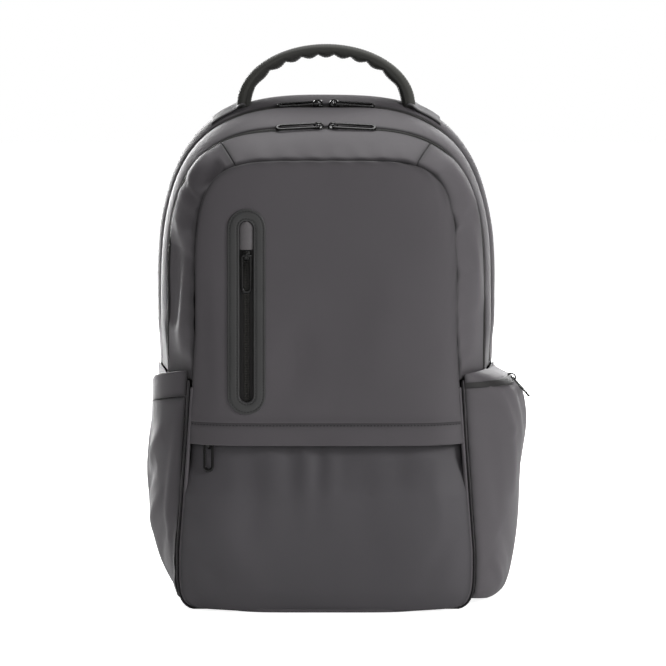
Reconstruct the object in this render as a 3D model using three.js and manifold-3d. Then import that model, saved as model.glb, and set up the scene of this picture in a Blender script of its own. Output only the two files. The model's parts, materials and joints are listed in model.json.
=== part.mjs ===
// A laptop backpack that stands upright: an arched body with two zipped compartments, a front
// panel with an upright zipped pocket, a lower front pocket under a hem flap, an open bottle
// pocket on the left, a stuffed zipped pocket on the right, a padded grab handle, and shoulder
// straps on the back. Millimetres, +Z up, the front faces -Y.
import * as THREE from "three";
import { mergeVertices } from "three/addons/utils/BufferGeometryUtils.js";
import Module from "manifold-3d";

const wasm = await Module();
wasm.setup();

// The body's driving sizes
const bodyWidth = 306; // across the back seam at the shoulder
const bodyHeight = 442.8; // floor to the top of the back seam
const bodyDepth = 144; // front seam to back seam at the foot
const shoulderHeight = 240; // where the sides turn into the arch
const cornerHeight = 50; // where the sides turn into the foot
const sideBend = 1.15; // how late the sides take their lower width
const frontLean = 27; // how far the front seam leans back over its height
const frontSwell = 20; // fullest bulge of the front face
const faceFullness = 6; // how steeply the front face rolls into its seam

// Cloth and clearances
const wall = 2; // lined body cloth
const pocketWall = 1.6;
const gap = 0.4; // left between two pieces that touch
const puffHeight = 2.4; // how far a gusset stands out between its seams
const puffFade = 30; // the gussets flatten over this height above the side panels

// Zips
const zipWidth = 10;
const zipSink = 0.8; // a zip lies this deep under the cloth beside it
const zipThickness = 1.2;

// Heights of the seams across the body
const sideTop = 200; // top of the side panels, under the pocket mouths
const hemTop = 164.7; // stitch row that ends the front panel
const flapHeight = 19.5;
const hemBottom = hemTop - flapHeight; // lower edge of the hem flap
const lowerZipHeight = hemBottom + 4.7;
const hemRecess = 9.4; // the lower zip lies this deep behind the hem flap's face
const hemThickness = 1.6;
const recessStart = hemBottom - 8.2; // the lower pocket swells forward from here
const recessEnd = hemBottom - 47.2; // down to here
const mitreHeight = 10; // the lower pocket's lining rises to its mitre over this height
const pocketBackFoot = 14; // the wall behind the lower pocket starts above the rounded corner

// Back panel
const backPadding = 7; // fullest padding
const backEdge = 2.6; // thickness at its edge

// Upright pocket zip on the front panel
const pocketZip = { x: -68.9, bottom: 182.7, top: 339.3, width: 12.4 };
const frameMargin = 10.4; // bonded frame around the slot
const frameThickness = 0.9;
const slotTape = { side: 4, end: 6 }; // the tape reaches this far past the slot
const garageLength = 24.5;
const garageThickness = 1.2;
const garageCrown = 0.5; // how far its middle stands off the panel's face

// Side pockets
const pocketHeight = 208;
const leftRoom = 15; // fullest reach of the left pocket from the body's lower width
const rightRoom = 31;
const leftMouthDrop = 30; // the left mouth slopes down to the back by this much
const rightTopDrop = 8;
const hemBandThickness = 2.4;
const pocketEdges = { front: 2.94, back: 0.12 }; // where the side pockets join the body, in rows
const cornerLift = 14; // a side pocket's foot rises this much towards its two seams

// Handle
const handleSpan = 147; // between the middles of its feet
const handleTop = 484.4; // middle of the grip at its highest point
const gripWidth = 24;
const gripThickness = 9.6;
const fingerPitch = 15.2;
const fingerDepth = 1.5;
const handleDepth = 60; // distance behind the body's middle
const anchorInner = 79.6; // where an anchor starts, from the body's middle
const anchorOuter = 102;
const anchorRows = { back: 0.14, front: 0.8 }; // the seam rows that an anchor lies between
const gripRound = 0.7; // share of the grip's width that is flat
const gripEdge = 0.45; // share of its thickness left at its edge
const gripNeck = 0.72; // share of its width left at its feet
const gripArch = 0.92; // how flat the top of its arch is

// Shoulder straps
const strapWidth = 60;
const strapThickness = 9;
const webbingWidth = 25;
const webbingThickness = 1.7;
const stripEdge = 0.4; // share of a strap's thickness left at its edge
const yoke = { width: 150, bottom: 398, top: 414, thickness: 3 };
const lock = { width: 34, length: 24, thickness: 4, slot: 27, bar: 5.6 };
const tab = { x: 116, bottom: 22, top: 54, width: 36, thickness: 3 };

// Sliders and pulls
const slider = { length: 9, width: 7.2, lift: 0.75, thickness: 1.4 };
const bridge = { half: 4.6, height: 5.2, width: 2.4, band: 1.4 };
const hingeHeight = 3.7; // crossbar above the zip
const pull = { width: 9.6, rail: 1.9, thickness: 1.5, bar: 1.3 };
const pullClearance = 0.5; // between a resting pull and the cloth under it
const mainSliderPlace = 7.4; // the sliders' distances from the middle
const frontSliderPlace = 6.4;
const mainPullLength = 36.5;
const frontPullLength = 38;
const slotPullLength = 33;
const slotSliderDrop = 5.6; // below the garage
const lowerPullLength = 24;
const lowerSliderX = -101;
const lowerLead = 3.2; // the lower bridge reaches down to the flap's edge
const leadShare = 1.7; // how far the crossbar follows a bridge's reach
const sidePullLength = 24;
const sideSliderPlace = 0.52; // along the right pocket's zip, from its front

// The seams that run around the body, from back to front. Depth is a share of bodyDepth from
// the front, top a share of bodyHeight, shoulder, low and foot shares of half the bodyWidth.
// Arch and corner are the exponents of the rounded outline, lean a share of frontLean, and turn
// is how far the cloth's inner side turns towards the front (-) at that seam.
const seamRows = [
  { depth: 1, top: 1, shoulder: 1, arch: 3.08, low: 0.954, corner: 2, foot: 0.686, lean: 0, turn: 0 },
  { depth: 0.792, top: 0.9815, shoulder: 0.971, arch: 3.15, low: 0.941, corner: 2.2, foot: 0.67, lean: 0, turn: 0 },
  { depth: 0.465, top: 0.9417, shoulder: 0.923, arch: 3.56, low: 0.908, corner: 3, foot: 0.64, lean: 0, turn: 0 },
  { depth: 0, top: 0.885, shoulder: 0.754, arch: 5.05, low: 0.84, corner: 5, foot: 0.575, lean: 1, turn: -1 },
];
const backSeam = 0;
const mainZipSeam = 1;
const frontZipSeam = 2;
const frontSeam = 3;

// Swell of the front face: height as a share of bodyHeight, swell as a share of frontSwell
const faceSwell = [
  { height: 0, swell: 0.8 },
  { height: 0.05, swell: 0.92 },
  { height: 0.16, swell: 1 },
  { height: 0.27, swell: 0.9 },
  { height: 0.37, swell: 0.7 },
  { height: 0.65, swell: 0.46 },
  { height: 1, swell: 0.4 },
];

// Side profiles of the pockets, from the foot up: height as a share of pocketHeight, reach as a
// share of the pocket's room, measured from the body's lower width
const leftProfile = [
  { height: 0.004, reach: -1.3 },
  { height: 0.004, reach: -0.7 },
  { height: 0.03, reach: -0.35 },
  { height: 0.09, reach: 0.15 },
  { height: 0.18, reach: 0.58 },
  { height: 0.35, reach: 1.05 },
  { height: 0.54, reach: 1.12 },
  { height: 0.7, reach: 1.02 },
  { height: 0.8, reach: 0.92 },
  { height: 0.884, reach: 0.86 },
  { height: 1, reach: 0.84 },
];
const rightProfile = [
  { height: 0.004, reach: -0.55 },
  { height: 0.004, reach: 0.3 },
  { height: 0.012, reach: 0.52 },
  { height: 0.05, reach: 0.7 },
  { height: 0.15, reach: 0.83 },
  { height: 0.36, reach: 0.99 },
  { height: 0.6, reach: 1.07 },
  { height: 0.73, reach: 1.13 },
  { height: 0.82, reach: 1.1 },
  { height: 0.885, reach: 1.02 },
  { height: 0.915, reach: 0.91 },
  { height: 0.945, reach: 0.68 },
  { height: 0.968, reach: 0.4 },
  { height: 0.985, reach: 0.1 },
];

const mix = (a, b, share) => a + (b - a) * share;
const clamp = (value, low, high) => Math.min(high, Math.max(low, value));
const smooth = (share) => share * share * (3 - 2 * share);

// A rounded bulge between 0 and 1
const bulge = (share) => Math.max(0, Math.sin(Math.PI * share)) ** 0.7;

// Values from a to b in equal steps
function spread(a, b, steps) {
  return Array.from({ length: steps + 1 }, (_, i) => mix(a, b, i / steps));
}

// Values from a to b that crowd towards both ends
function crowd(a, b, steps) {
  return spread(0, Math.PI, steps).map((angle) => mix(a, b, (1 - Math.cos(angle)) / 2));
}

// A column of a table, read smoothly at a value of another column
function readTable(rows, key, at, column) {
  let i = 0;
  while (i < rows.length - 2 && rows[i + 1][key] < at) i += 1;
  const share = clamp((at - rows[i][key]) / (rows[i + 1][key] - rows[i][key]), 0, 1);
  return mix(rows[i][column], rows[i + 1][column], smooth(share));
}

// A column of a table at a fractional row
function readRow(rows, at, column) {
  const i = Math.min(Math.floor(at), rows.length - 2);
  return mix(rows[i][column], rows[i + 1][column], at - i);
}

// A closed body from points and triangles: equal points are joined and empty faces dropped
function solid(points, faces) {
  const placed = [];
  const index = new Map();
  const joined = points.map((point) => {
    const key = point.toArray().map((value) => Math.round(value * 1e4)).join(",");
    if (!index.has(key)) {
      index.set(key, placed.length);
      placed.push(point);
    }
    return index.get(key);
  });
  const kept = faces
    .map((face) => face.map((corner) => joined[corner]))
    .filter(([a, b, c]) => a !== b && b !== c && c !== a);
  const volume = kept.reduce((sum, [a, b, c]) => {
    return sum + placed[a].dot(placed[b].clone().cross(placed[c]));
  }, 0);
  if (volume < 0) kept.forEach((face) => face.reverse());
  const geometry = new THREE.BufferGeometry();
  geometry.setAttribute("position", new THREE.Float32BufferAttribute(placed.flatMap((p) => p.toArray()), 3));
  geometry.setIndex(kept.flat());
  geometry.computeVertexNormals();
  return geometry;
}

// Points of a surface over two lists of values
const grid = (us, vs, surface) => us.map((u) => vs.map((v) => surface(u, v)));

// A closed sheet between two grids of points, joined around their rims.
// A round sheet's first and last columns are neighbours.
function sheet(outer, inner, round = false) {
  const columns = outer.length;
  const rows = outer[0].length;
  const points = [...outer.flat(), ...inner.flat()];
  const inside = columns * rows;
  const faces = [];
  const quad = (a, b, c, d) => faces.push([a, b, c], [a, c, d]);
  const last = round ? columns : columns - 1;
  for (let i = 0; i < last; i += 1) {
    const here = i * rows;
    const next = ((i + 1) % columns) * rows;
    for (let j = 0; j < rows - 1; j += 1) {
      quad(here + j, next + j, next + j + 1, here + j + 1);
      quad(inside + here + j, inside + here + j + 1, inside + next + j + 1, inside + next + j);
    }
    const end = rows - 1;
    quad(here, inside + here, inside + next, next);
    quad(here + end, next + end, inside + next + end, inside + here + end);
  }
  if (!round) {
    const edge = (columns - 1) * rows;
    for (let j = 0; j < rows - 1; j += 1) {
      quad(j, j + 1, inside + j + 1, inside + j);
      quad(edge + j, inside + edge + j, inside + edge + j + 1, edge + j + 1);
    }
  }
  return solid(points, faces);
}

// A solid swept through a list of rings of points, closed at both ends
function loft(rings) {
  const sides = rings[0].length;
  const faces = [];
  for (let i = 0; i < rings.length - 1; i += 1) {
    for (let j = 0; j < sides; j += 1) {
      const next = (j + 1) % sides;
      faces.push([i * sides + j, i * sides + next, (i + 1) * sides + next]);
      faces.push([i * sides + j, (i + 1) * sides + next, (i + 1) * sides + j]);
    }
  }
  const end = (rings.length - 1) * sides;
  for (let j = 1; j < sides - 1; j += 1) {
    faces.push([0, j + 1, j]);
    faces.push([end, end + j, end + j + 1]);
  }
  return solid(rings.flat(), faces);
}

// A geometry as a solid that can be joined or cut, and back
function toManifold(geometry) {
  const bare = geometry.index ? geometry.toNonIndexed() : geometry.clone();
  bare.deleteAttribute("normal");
  bare.deleteAttribute("uv");
  const merged = mergeVertices(bare, 1e-4);
  return new wasm.Manifold(
    new wasm.Mesh({
      numProp: 3,
      vertProperties: merged.attributes.position.array,
      triVerts: new Uint32Array(merged.index.array),
    }),
  );
}

function toGeometry(manifold) {
  const mesh = manifold.getMesh();
  const geometry = new THREE.BufferGeometry();
  geometry.setAttribute("position", new THREE.BufferAttribute(mesh.vertProperties.slice(), 3));
  geometry.setIndex(Array.from(mesh.triVerts));
  geometry.computeVertexNormals();
  return geometry;
}

// The seam at a fractional row, in millimetres
function seamAt(v) {
  const share = (column) => readRow(seamRows, v, column);
  const half = bodyWidth / 2;
  return {
    y: (share("depth") - 0.5) * bodyDepth,
    rise: share("top") * bodyHeight - shoulderHeight,
    shoulder: share("shoulder") * half,
    low: share("low") * half,
    foot: share("foot") * half,
    arch: share("arch"),
    corner: share("corner"),
    lean: share("lean") * frontLean,
    turn: share("turn"),
  };
}

// A point of the closed outline of a seam. s runs from the top (0) over the shoulder (1), the
// corner (2) and the foot (2.5) to the middle of the floor (3), to the left where it is negative.
function outlineAt(seam, s) {
  const side = s < 0 ? -1 : 1;
  const along = Math.abs(s);
  if (along <= 1) {
    const angle = (along * Math.PI) / 2;
    const across = Math.sin(angle);
    const up = Math.cos(angle);
    const reach = (across ** seam.arch + up ** seam.arch) ** (-1 / seam.arch);
    return { x: side * seam.shoulder * reach * across, z: shoulderHeight + seam.rise * reach * up };
  }
  if (along <= 2) {
    const share = along - 1;
    return {
      x: side * mix(seam.shoulder, seam.low, share ** sideBend),
      z: mix(shoulderHeight, cornerHeight, share),
    };
  }
  if (along < 2.5) {
    const angle = (along - 2) * Math.PI;
    const across = Math.cos(angle) ** (2 / seam.corner);
    const down = Math.sin(angle) ** (2 / seam.corner);
    return { x: side * mix(seam.foot, seam.low, across), z: cornerHeight * (1 - down) };
  }
  return { x: side * seam.foot * (3 - along) * 2, z: 0 };
}

// The side's s at a height, and the arch's s at a distance from the middle
function sideAt(seam, z) {
  if (z >= cornerHeight) return 1 + (shoulderHeight - z) / (shoulderHeight - cornerHeight);
  return 2 + Math.asin((1 - z / cornerHeight) ** (seam.corner / 2)) / Math.PI;
}

function archAt(seam, x) {
  const across = Math.abs(x) / seam.shoulder;
  const up = (1 - across ** seam.arch) ** (1 / seam.arch);
  return (Math.sign(x) * Math.atan2(across, up)) / (Math.PI / 2);
}

const leanAt = (seam, z) => (seam.lean * z) / (shoulderHeight + seam.rise);

// Half the width of a seam at a height
function halfAt(seam, z) {
  if (z > shoulderHeight) {
    const up = Math.min(1, (z - shoulderHeight) / seam.rise);
    return seam.shoulder * (1 - up ** seam.arch) ** (1 / seam.arch);
  }
  return outlineAt(seam, sideAt(seam, z)).x;
}

// How near a point of a face is to the seam around it: 0 in the middle, 1 on the seam
function nearSeam(seam, x, z) {
  if (z <= shoulderHeight) return Math.abs(x) / halfAt(seam, z);
  const across = Math.abs(x) / seam.shoulder;
  const up = (z - shoulderHeight) / seam.rise;
  return (across ** seam.arch + up ** seam.arch) ** (1 / seam.arch);
}

// The bulge of the front face at a height, and how much of it a point between the seams has
const swellAt = (z) => frontSwell * readTable(faceSwell, "height", z / bodyHeight, "swell");
const fullness = (near) => 1 - Math.min(1, near) ** faceFullness;

// A point of the body's tunnel between the back seam (v = 0) and the front seam (v = 3)
function tunnelPoint(v, s) {
  const seam = seamAt(v);
  const { x, z } = outlineAt(seam, s);
  const onFloor = Math.abs(s) > 2.5 ? fullness(x / seam.foot) : 0;
  const forward = Math.max(0, v - frontZipSeam) * swellAt(0) * onFloor;
  return new THREE.Vector3(x, seam.y + leanAt(seam, z) - forward, z);
}

// The outward direction of a seam's outline
function tunnelNormal(v, s) {
  const seam = seamAt(v);
  const step = 1e-3;
  const before = outlineAt(seam, s - step);
  const after = outlineAt(seam, s + step);
  return new THREE.Vector3(before.z - after.z, 0, after.x - before.x).normalize();
}

// A point of the tunnel lifted off its surface
function lifted(v, s, lift) {
  return tunnelPoint(v, s).addScaledVector(tunnelNormal(v, s), lift);
}

// The tunnel's inner side: at a turned seam it meets the next piece on a mitre
function lining(v, s, depth) {
  const inward = tunnelNormal(v, s).setY(seamAt(v).turn);
  return tunnelPoint(v, s).addScaledVector(inward, -depth);
}

// A fractional row some millimetres towards the front from a seam
function rowBeside(row, distance) {
  const next = distance > 0 ? row + 1 : row - 1;
  const spacing = Math.abs(seamAt(next).y - seamAt(row).y);
  return row + distance / spacing;
}

// How much of its puff a gusset has at s: none at the pocket mouths
function puffAt(s) {
  const { z } = outlineAt(seamAt(mainZipSeam), s);
  return puffHeight * smooth(clamp((z - sideTop - 12) / puffFade, 0, 1));
}

// A strip of the body's cloth between two rows and two places along the outline
function clothStrip(v0, v1, s0, s1, rows, places, puff, thickness = wall) {
  const swell = (v, s) => puff * puffAt(s) * bulge((v - v0) / (v1 - v0));
  const vs = spread(v0, v1, rows);
  const ss = spread(s0, s1, places);
  return sheet(
    grid(vs, ss, (v, s) => lifted(v, s, swell(v, s))),
    grid(vs, ss, (v, s) => lining(v, s, thickness)),
  );
}

const zipHalf = zipWidth / 2;
const sideSeam = sideAt(seamAt(backSeam), sideTop);
const sideGap = gap / (shoulderHeight - cornerHeight); // the gap in units of s
const bandEnd = sideSeam - sideGap / 2;
const archPlaces = 34;

function backGusset() {
  return clothStrip(backSeam, rowBeside(mainZipSeam, -zipHalf), -bandEnd, bandEnd, 4, archPlaces, 1);
}

function middleGusset() {
  const from = rowBeside(mainZipSeam, zipHalf);
  const to = rowBeside(frontZipSeam, -zipHalf);
  return clothStrip(from, to, -bandEnd, bandEnd, 3, archPlaces, 1);
}

// A zip set into the body's cloth around the arch
function archZip(row) {
  const inset = zipHalf - gap;
  const vs = [rowBeside(row, -inset), rowBeside(row, inset)];
  const ss = spread(-bandEnd, bandEnd, archPlaces);
  return sheet(
    grid(vs, ss, (v, s) => lifted(v, s, -zipSink)),
    grid(vs, ss, (v, s) => lifted(v, s, -zipSink - zipThickness)),
  );
}

// The front gusset has a cross seam on each side of the arch
const crossSeam = 0.392;
const crossGap = sideGap * 0.6;
const gussetFront = rowBeside(frontSeam, -gap);
const gussetBack = rowBeside(frontZipSeam, zipHalf);

function frontGussetTop() {
  const end = crossSeam - crossGap;
  return clothStrip(gussetBack, gussetFront, -end, end, 4, 12, 1);
}

function frontGussetSide(side) {
  const from = crossSeam + crossGap;
  return clothStrip(gussetBack, gussetFront, side * from, side * bandEnd, 4, 16, 1);
}

function sidePanel(side) {
  const vs = spread(backSeam, gussetFront, 6);
  const ss = [...spread(sideSeam + sideGap / 2, 2, 4), 2.1, 2.2, 2.3, 2.4, 2.5 - sideGap];
  return sheet(
    grid(vs, ss, (v, s) => tunnelPoint(v, side * s)),
    grid(vs, ss, (v, s) => lining(v, side * s, wall)),
  );
}

function bottomPanel() {
  const vs = [...spread(backSeam, frontZipSeam, 2), ...spread(2.3, gussetFront, 3)];
  const ss = spread(-0.5, 0.5, 10);
  const place = (share) => (share < 0 ? -3 - share : 3 - share);
  const flat = 1 - 2 * sideGap;
  return sheet(
    grid(vs, ss, (v, share) => tunnelPoint(v, place(share * flat))),
    grid(vs, ss, (v, share) => lining(v, place(share * flat), wall)),
  );
}

// Rings of points from an outline in to its middle, for a face that lies across the body
function facePoints(edge, middle, shares, depth) {
  return edge.map((corner) =>
    shares.map((share) => {
      const x = mix(middle.x, corner.x, share);
      const z = mix(middle.z, corner.z, share);
      return new THREE.Vector3(x, depth(x, z), z);
    }),
  );
}

// The whole outline of a seam, drawn in by an inset
function closedOutline(v, inset) {
  const places = [
    ...spread(-1, 1, 28),
    ...spread(1.33, 2, 3),
    ...spread(2.12, 2.5, 3),
    3,
    ...spread(-2.5, -2.12, 3),
    ...spread(-2, -1.33, 3),
  ];
  return places.map((s) => lifted(v, s, -inset));
}

const faceShares = [0, 0.5, 0.8, 0.93, 1];

// The outer face of the back panel
function backFace(x, z) {
  const near = Math.min(1, nearSeam(seamAt(backSeam), x, z));
  return seamAt(backSeam).y + gap + backEdge + backPadding * (1 - near ** 4);
}

function backPanel() {
  const middle = { x: 0, z: shoulderHeight };
  const edge = closedOutline(backSeam, gap);
  const inside = closedOutline(backSeam, gap);
  return sheet(
    facePoints(edge, middle, faceShares, backFace),
    facePoints(inside, middle, faceShares, () => seamAt(backSeam).y + gap),
    true,
  );
}

// The wall between the two compartments
function divider() {
  const v = (mainZipSeam + frontZipSeam) / 2;
  const edge = closedOutline(v, wall + 2 * gap);
  const middle = { x: 0, z: shoulderHeight };
  const { y } = seamAt(v);
  return sheet(
    facePoints(edge, middle, [0, 1], () => y),
    facePoints(edge, middle, [0, 1], () => y + pocketWall),
    true,
  );
}

// The front face between the front seams
const front = seamAt(frontSeam);

function frontFace(x, z) {
  return front.y + leanAt(front, z) - swellAt(z) * fullness(nearSeam(front, x, z));
}

// The front panel ends at the hem's stitch row
function frontOutline(inset) {
  const end = sideAt(front, hemTop);
  const places = spread(-end, end, 40);
  const around = places.map((s) => lifted(frontSeam, s, -inset));
  const half = around[around.length - 1].x;
  const along = spread(half, -half, 10).slice(1, -1);
  const hem = along.map((x) => new THREE.Vector3(x, 0, hemTop));
  return [...around, ...hem];
}

function stadium(width, bottom, top, steps) {
  const radius = width / 2;
  const points = [];
  for (const angle of spread(0, Math.PI, steps)) {
    points.push(new THREE.Vector2(radius * Math.cos(angle), top - radius + radius * Math.sin(angle)));
  }
  for (const angle of spread(Math.PI, 2 * Math.PI, steps)) {
    points.push(new THREE.Vector2(radius * Math.cos(angle), bottom + radius + radius * Math.sin(angle)));
  }
  return points;
}

function frontPanel() {
  const middle = { x: 0, z: (hemTop + shoulderHeight + front.rise) / 2 };
  const panel = sheet(
    facePoints(frontOutline(gap), middle, faceShares, frontFace),
    facePoints(frontOutline(gap + wall), middle, faceShares, (x, z) => frontFace(x, z) + wall),
    true,
  );
  const outline = stadium(pocketZip.width, pocketZip.bottom, pocketZip.top, 8);
  const cutter = new THREE.ExtrudeGeometry(new THREE.Shape(outline), { depth: bodyDepth, bevelEnabled: false });
  cutter.rotateX(Math.PI / 2).translate(pocketZip.x, 0, 0);
  return toGeometry(toManifold(panel).subtract(toManifold(cutter)));
}

// The bonded frame around the slot, laid on the front panel
function pocketFrame() {
  const steps = 6;
  const straight = 6;
  const around = (margin) => {
    const width = pocketZip.width + 2 * margin;
    const points = stadium(width, pocketZip.bottom - margin, pocketZip.top + margin, steps);
    const right = points[points.length - 1];
    const left = points[steps];
    const rise = (from, to) => spread(0, 1, straight).slice(1, -1).map((share) => from.clone().lerp(to, share));
    return [
      ...points.slice(0, steps + 1),
      ...rise(left, points[steps + 1]),
      ...points.slice(steps + 1),
      ...rise(right, points[0]),
    ];
  };
  const rings = [frameMargin, frameMargin / 2, 0].map(around);
  const points = (lift) =>
    rings[0].map((_, i) =>
      rings.map((ring) => {
        const x = pocketZip.x + ring[i].x;
        return new THREE.Vector3(x, frontFace(x, ring[i].y) - gap - lift, ring[i].y);
      }),
    );
  return sheet(points(frameThickness), points(0), true);
}

// A patch of cloth on the front face, between two heights and two distances from the middle
function facePatch(x0, x1, z0, z1, columns, rows, forward, thickness) {
  const xs = spread(x0, x1, columns);
  const zs = spread(z0, z1, rows);
  return sheet(
    grid(xs, zs, (x, z) => new THREE.Vector3(x, frontFace(x, z) - forward, z)),
    grid(xs, zs, (x, z) => new THREE.Vector3(x, frontFace(x, z) - forward + thickness, z)),
  );
}

const slotZipLift = -wall - 3 * gap; // the tape lies behind the front panel

function slotZip() {
  const half = pocketZip.width / 2 + slotTape.side;
  return facePatch(
    pocketZip.x - half,
    pocketZip.x + half,
    pocketZip.bottom - slotTape.end,
    pocketZip.top + slotTape.end,
    2,
    8,
    slotZipLift,
    zipThickness,
  );
}

// The flap that covers the end of the slot's zip, with a round top
function zipGarage() {
  const width = pocketZip.width - 2 * gap;
  const top = pocketZip.top - gap;
  const bottom = top - garageLength;
  const radius = width / 2;
  const halfWidth = (z) => Math.sqrt(Math.max(0.01, radius ** 2 - Math.max(0, z - top + radius) ** 2));
  const shares = spread(-1, 1, 4);
  const heights = [bottom, top - radius, ...spread(0.3, 1, 4).map((share) => top - radius + radius * share * 0.99)];
  const face = (forward) =>
    grid(shares, heights, (share, z) => {
      const x = pocketZip.x + share * halfWidth(z);
      return new THREE.Vector3(x, frontFace(x, z) - forward * (1 - 0.4 * share ** 2), z);
    });
  return sheet(face(garageCrown), face(garageCrown - garageThickness));
}

// The flap hangs from the hem's stitch row, flush with the front panel
function hemFlap() {
  const xs = crowd(-1, 1, 20);
  const zs = spread(hemBottom, hemTop - gap, 2);
  const face = (behind) =>
    grid(xs, zs, (share, z) => {
      const x = share * (halfAt(front, z) - gap - behind);
      return new THREE.Vector3(x, frontFace(x, z) + behind, z);
    });
  return sheet(face(0), face(hemThickness));
}

// How far the lower pocket and its zip lie behind the front face at a height
const recessAt = (z) => hemRecess * smooth(clamp((z - recessEnd) / (recessStart - recessEnd), 0, 1));

// A height field behind the front face, whose edges draw in where it is recessed
function recessedFace(zs, columns, thickness, mitre) {
  const shares = crowd(-1, 1, columns);
  const low = zs[0];
  const face = (behind, inset, foot) =>
    grid(shares, zs, (share, height) => {
      const z = height + foot * clamp(1 - (height - low) / mitreHeight, 0, 1);
      const drawn = (recessAt(z) / hemRecess) * (wall + gap);
      const x = share * (halfAt(front, z) - 2 * gap - inset - drawn);
      return new THREE.Vector3(x, frontFace(x, z) + behind + recessAt(z), z);
    });
  return sheet(face(0, 0, 0), face(thickness, mitre, mitre));
}

const lowerRows = [0.021, 0.055, 0.138]; // heights of the rows near the floor, as shares of its own

function lowerPocket() {
  const top = lowerZipHeight - zipHalf;
  const zs = [gap, ...lowerRows.map((share) => top * share), ...spread(0.31, 1, 6).map((share) => top * share)];
  return recessedFace(zs, 18, wall, wall);
}

function lowerZip() {
  const zs = [lowerZipHeight - zipHalf + gap, hemTop];
  return recessedFace(zs, 16, zipThickness, 0);
}

// The front compartment's wall behind the lower pocket
function pocketBack() {
  const behind = hemRecess + zipThickness + 2 * gap;
  const zs = spread(pocketBackFoot, hemTop, 5);
  const face = (thickness) =>
    grid([-1, 1], zs, (side, z) => {
      const x = side * (halfAt(front, z) - wall - 3 * gap);
      return new THREE.Vector3(x, front.y + leanAt(front, z) + behind + thickness, z);
    });
  return sheet(face(0), face(pocketWall));
}

const steepest = 0.3; // the least slope that a pocket's clearance is worked out for

// A side pocket's surface. a runs from the front seam (0) to the back seam (1), b along the
// profile's rows from the foot up.
function pocketSurface({ side, room, profile, square, drop, flare }) {
  const place = (a, b) => {
    const v = mix(pocketEdges.front, pocketEdges.back, a);
    const seam = seamAt(v);
    const bump = (1 - Math.abs(2 * a - 1) ** square) ** flare;
    const share = readRow(profile, b, "height");
    const top = pocketHeight - drop * a;
    const z = share * top + cornerLift * (1 - bump) * (1 - share);
    const slope = tunnelNormal(v, sideAt(seam, z)).x;
    const flat = halfAt(seam, z) + (gap + pocketWall) / Math.max(steepest, slope);
    const full = seam.low + room * readRow(profile, b, "reach");
    const x = Math.max(flat, mix(flat, full, bump));
    return new THREE.Vector3(side * x, seam.y + leanAt(seam, z), z);
  };
  const normal = (a, b) => {
    const step = 1e-3;
    const a0 = Math.max(0, a - step);
    const a1 = Math.min(1, a + step);
    const b0 = Math.max(0, b - step);
    const b1 = Math.min(profile.length - 1, b + step);
    const along = place(a1, b).sub(place(a0, b));
    const up = place(a, b1).sub(place(a, b0));
    return along.cross(up).normalize().multiplyScalar(side);
  };
  return { place, normal };
}

const leftPocketForm = pocketSurface({
  side: -1,
  room: leftRoom,
  profile: leftProfile,
  square: 2.6,
  flare: 0.8,
  drop: leftMouthDrop,
});
const rightPocketForm = pocketSurface({
  side: 1,
  room: rightRoom,
  profile: rightProfile,
  square: 3,
  flare: 0.7,
  drop: rightTopDrop,
});

function pocketPiece(form, b0, b1, rows, columns, thickness = pocketWall, lift = 0) {
  const as = crowd(0, 1, columns);
  const bs = spread(b0, b1, rows);
  const outer = (a, b) => form.place(a, b).addScaledVector(form.normal(a, b), lift);
  const inner = (a, b) => outer(a, b).addScaledVector(form.normal(a, b), -thickness);
  return sheet(grid(as, bs, outer), grid(as, bs, inner));
}

const leftHemRow = 9;
const rightRimRow = 10.2;
const rightZipRow = 11.1;
const rowGap = 0.03;

// The height of the body's top at a place beside the middle and behind the front
function topHeight(x, y) {
  let v = mainZipSeam * (1 - (y - seamAt(mainZipSeam).y) / (seamAt(backSeam).y - seamAt(mainZipSeam).y));
  v = clamp(v, backSeam, mainZipSeam);
  const seam = seamAt(v);
  return tunnelPoint(v, archAt(seam, x)).z + puffHeight;
}

function handleGrip() {
  const half = handleSpan / 2;
  const base = topHeight(half, handleDepth) - puffHeight;
  const steps = 44;
  const rings = spread(-1, 1, steps).map((share) => {
    const angle = (share * Math.PI) / 2;
    const x = half * Math.sin(angle);
    const z = mix(base, handleTop, Math.cos(angle) ** gripArch);
    const out = new THREE.Vector3(Math.sin(angle) * (handleTop - base), 0, Math.cos(angle) * half).normalize();
    const finger = Math.cos((2 * Math.PI * x) / fingerPitch) * Math.max(0, 1 - (x / half) ** 6);
    const upper = gripThickness / 2;
    const lower = upper - fingerDepth * (0.5 - 0.5 * finger);
    const wide = (gripWidth / 2) * mix(gripNeck, 1, Math.cos(angle) ** 0.5);
    const section = [
      [-gripRound, upper],
      [gripRound, upper],
      [1, upper * gripEdge],
      [1, -lower * gripEdge],
      [gripRound, -lower],
      [-gripRound, -lower],
      [-1, -lower * gripEdge],
      [-1, upper * gripEdge],
    ];
    return section.map(([across, rise]) => {
      const point = new THREE.Vector3(x, handleDepth + across * wide, z).addScaledVector(out, rise);
      point.z = Math.max(point.z, topHeight(point.x, point.y) + gap);
      return point;
    });
  });
  return loft(rings);
}

// A tab on the back gusset that holds one end of the handle
function handleAnchor(side) {
  const vs = spread(anchorRows.back, anchorRows.front, 3);
  const shares = spread(0, 1, 4);
  const place = (lift) =>
    grid(vs, shares, (v, share) => {
      const s = archAt(seamAt(v), side * mix(anchorInner, anchorOuter, share));
      return lifted(v, s, puffHeight + gap + lift);
    });
  return sheet(place(pocketWall), place(0));
}

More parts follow.
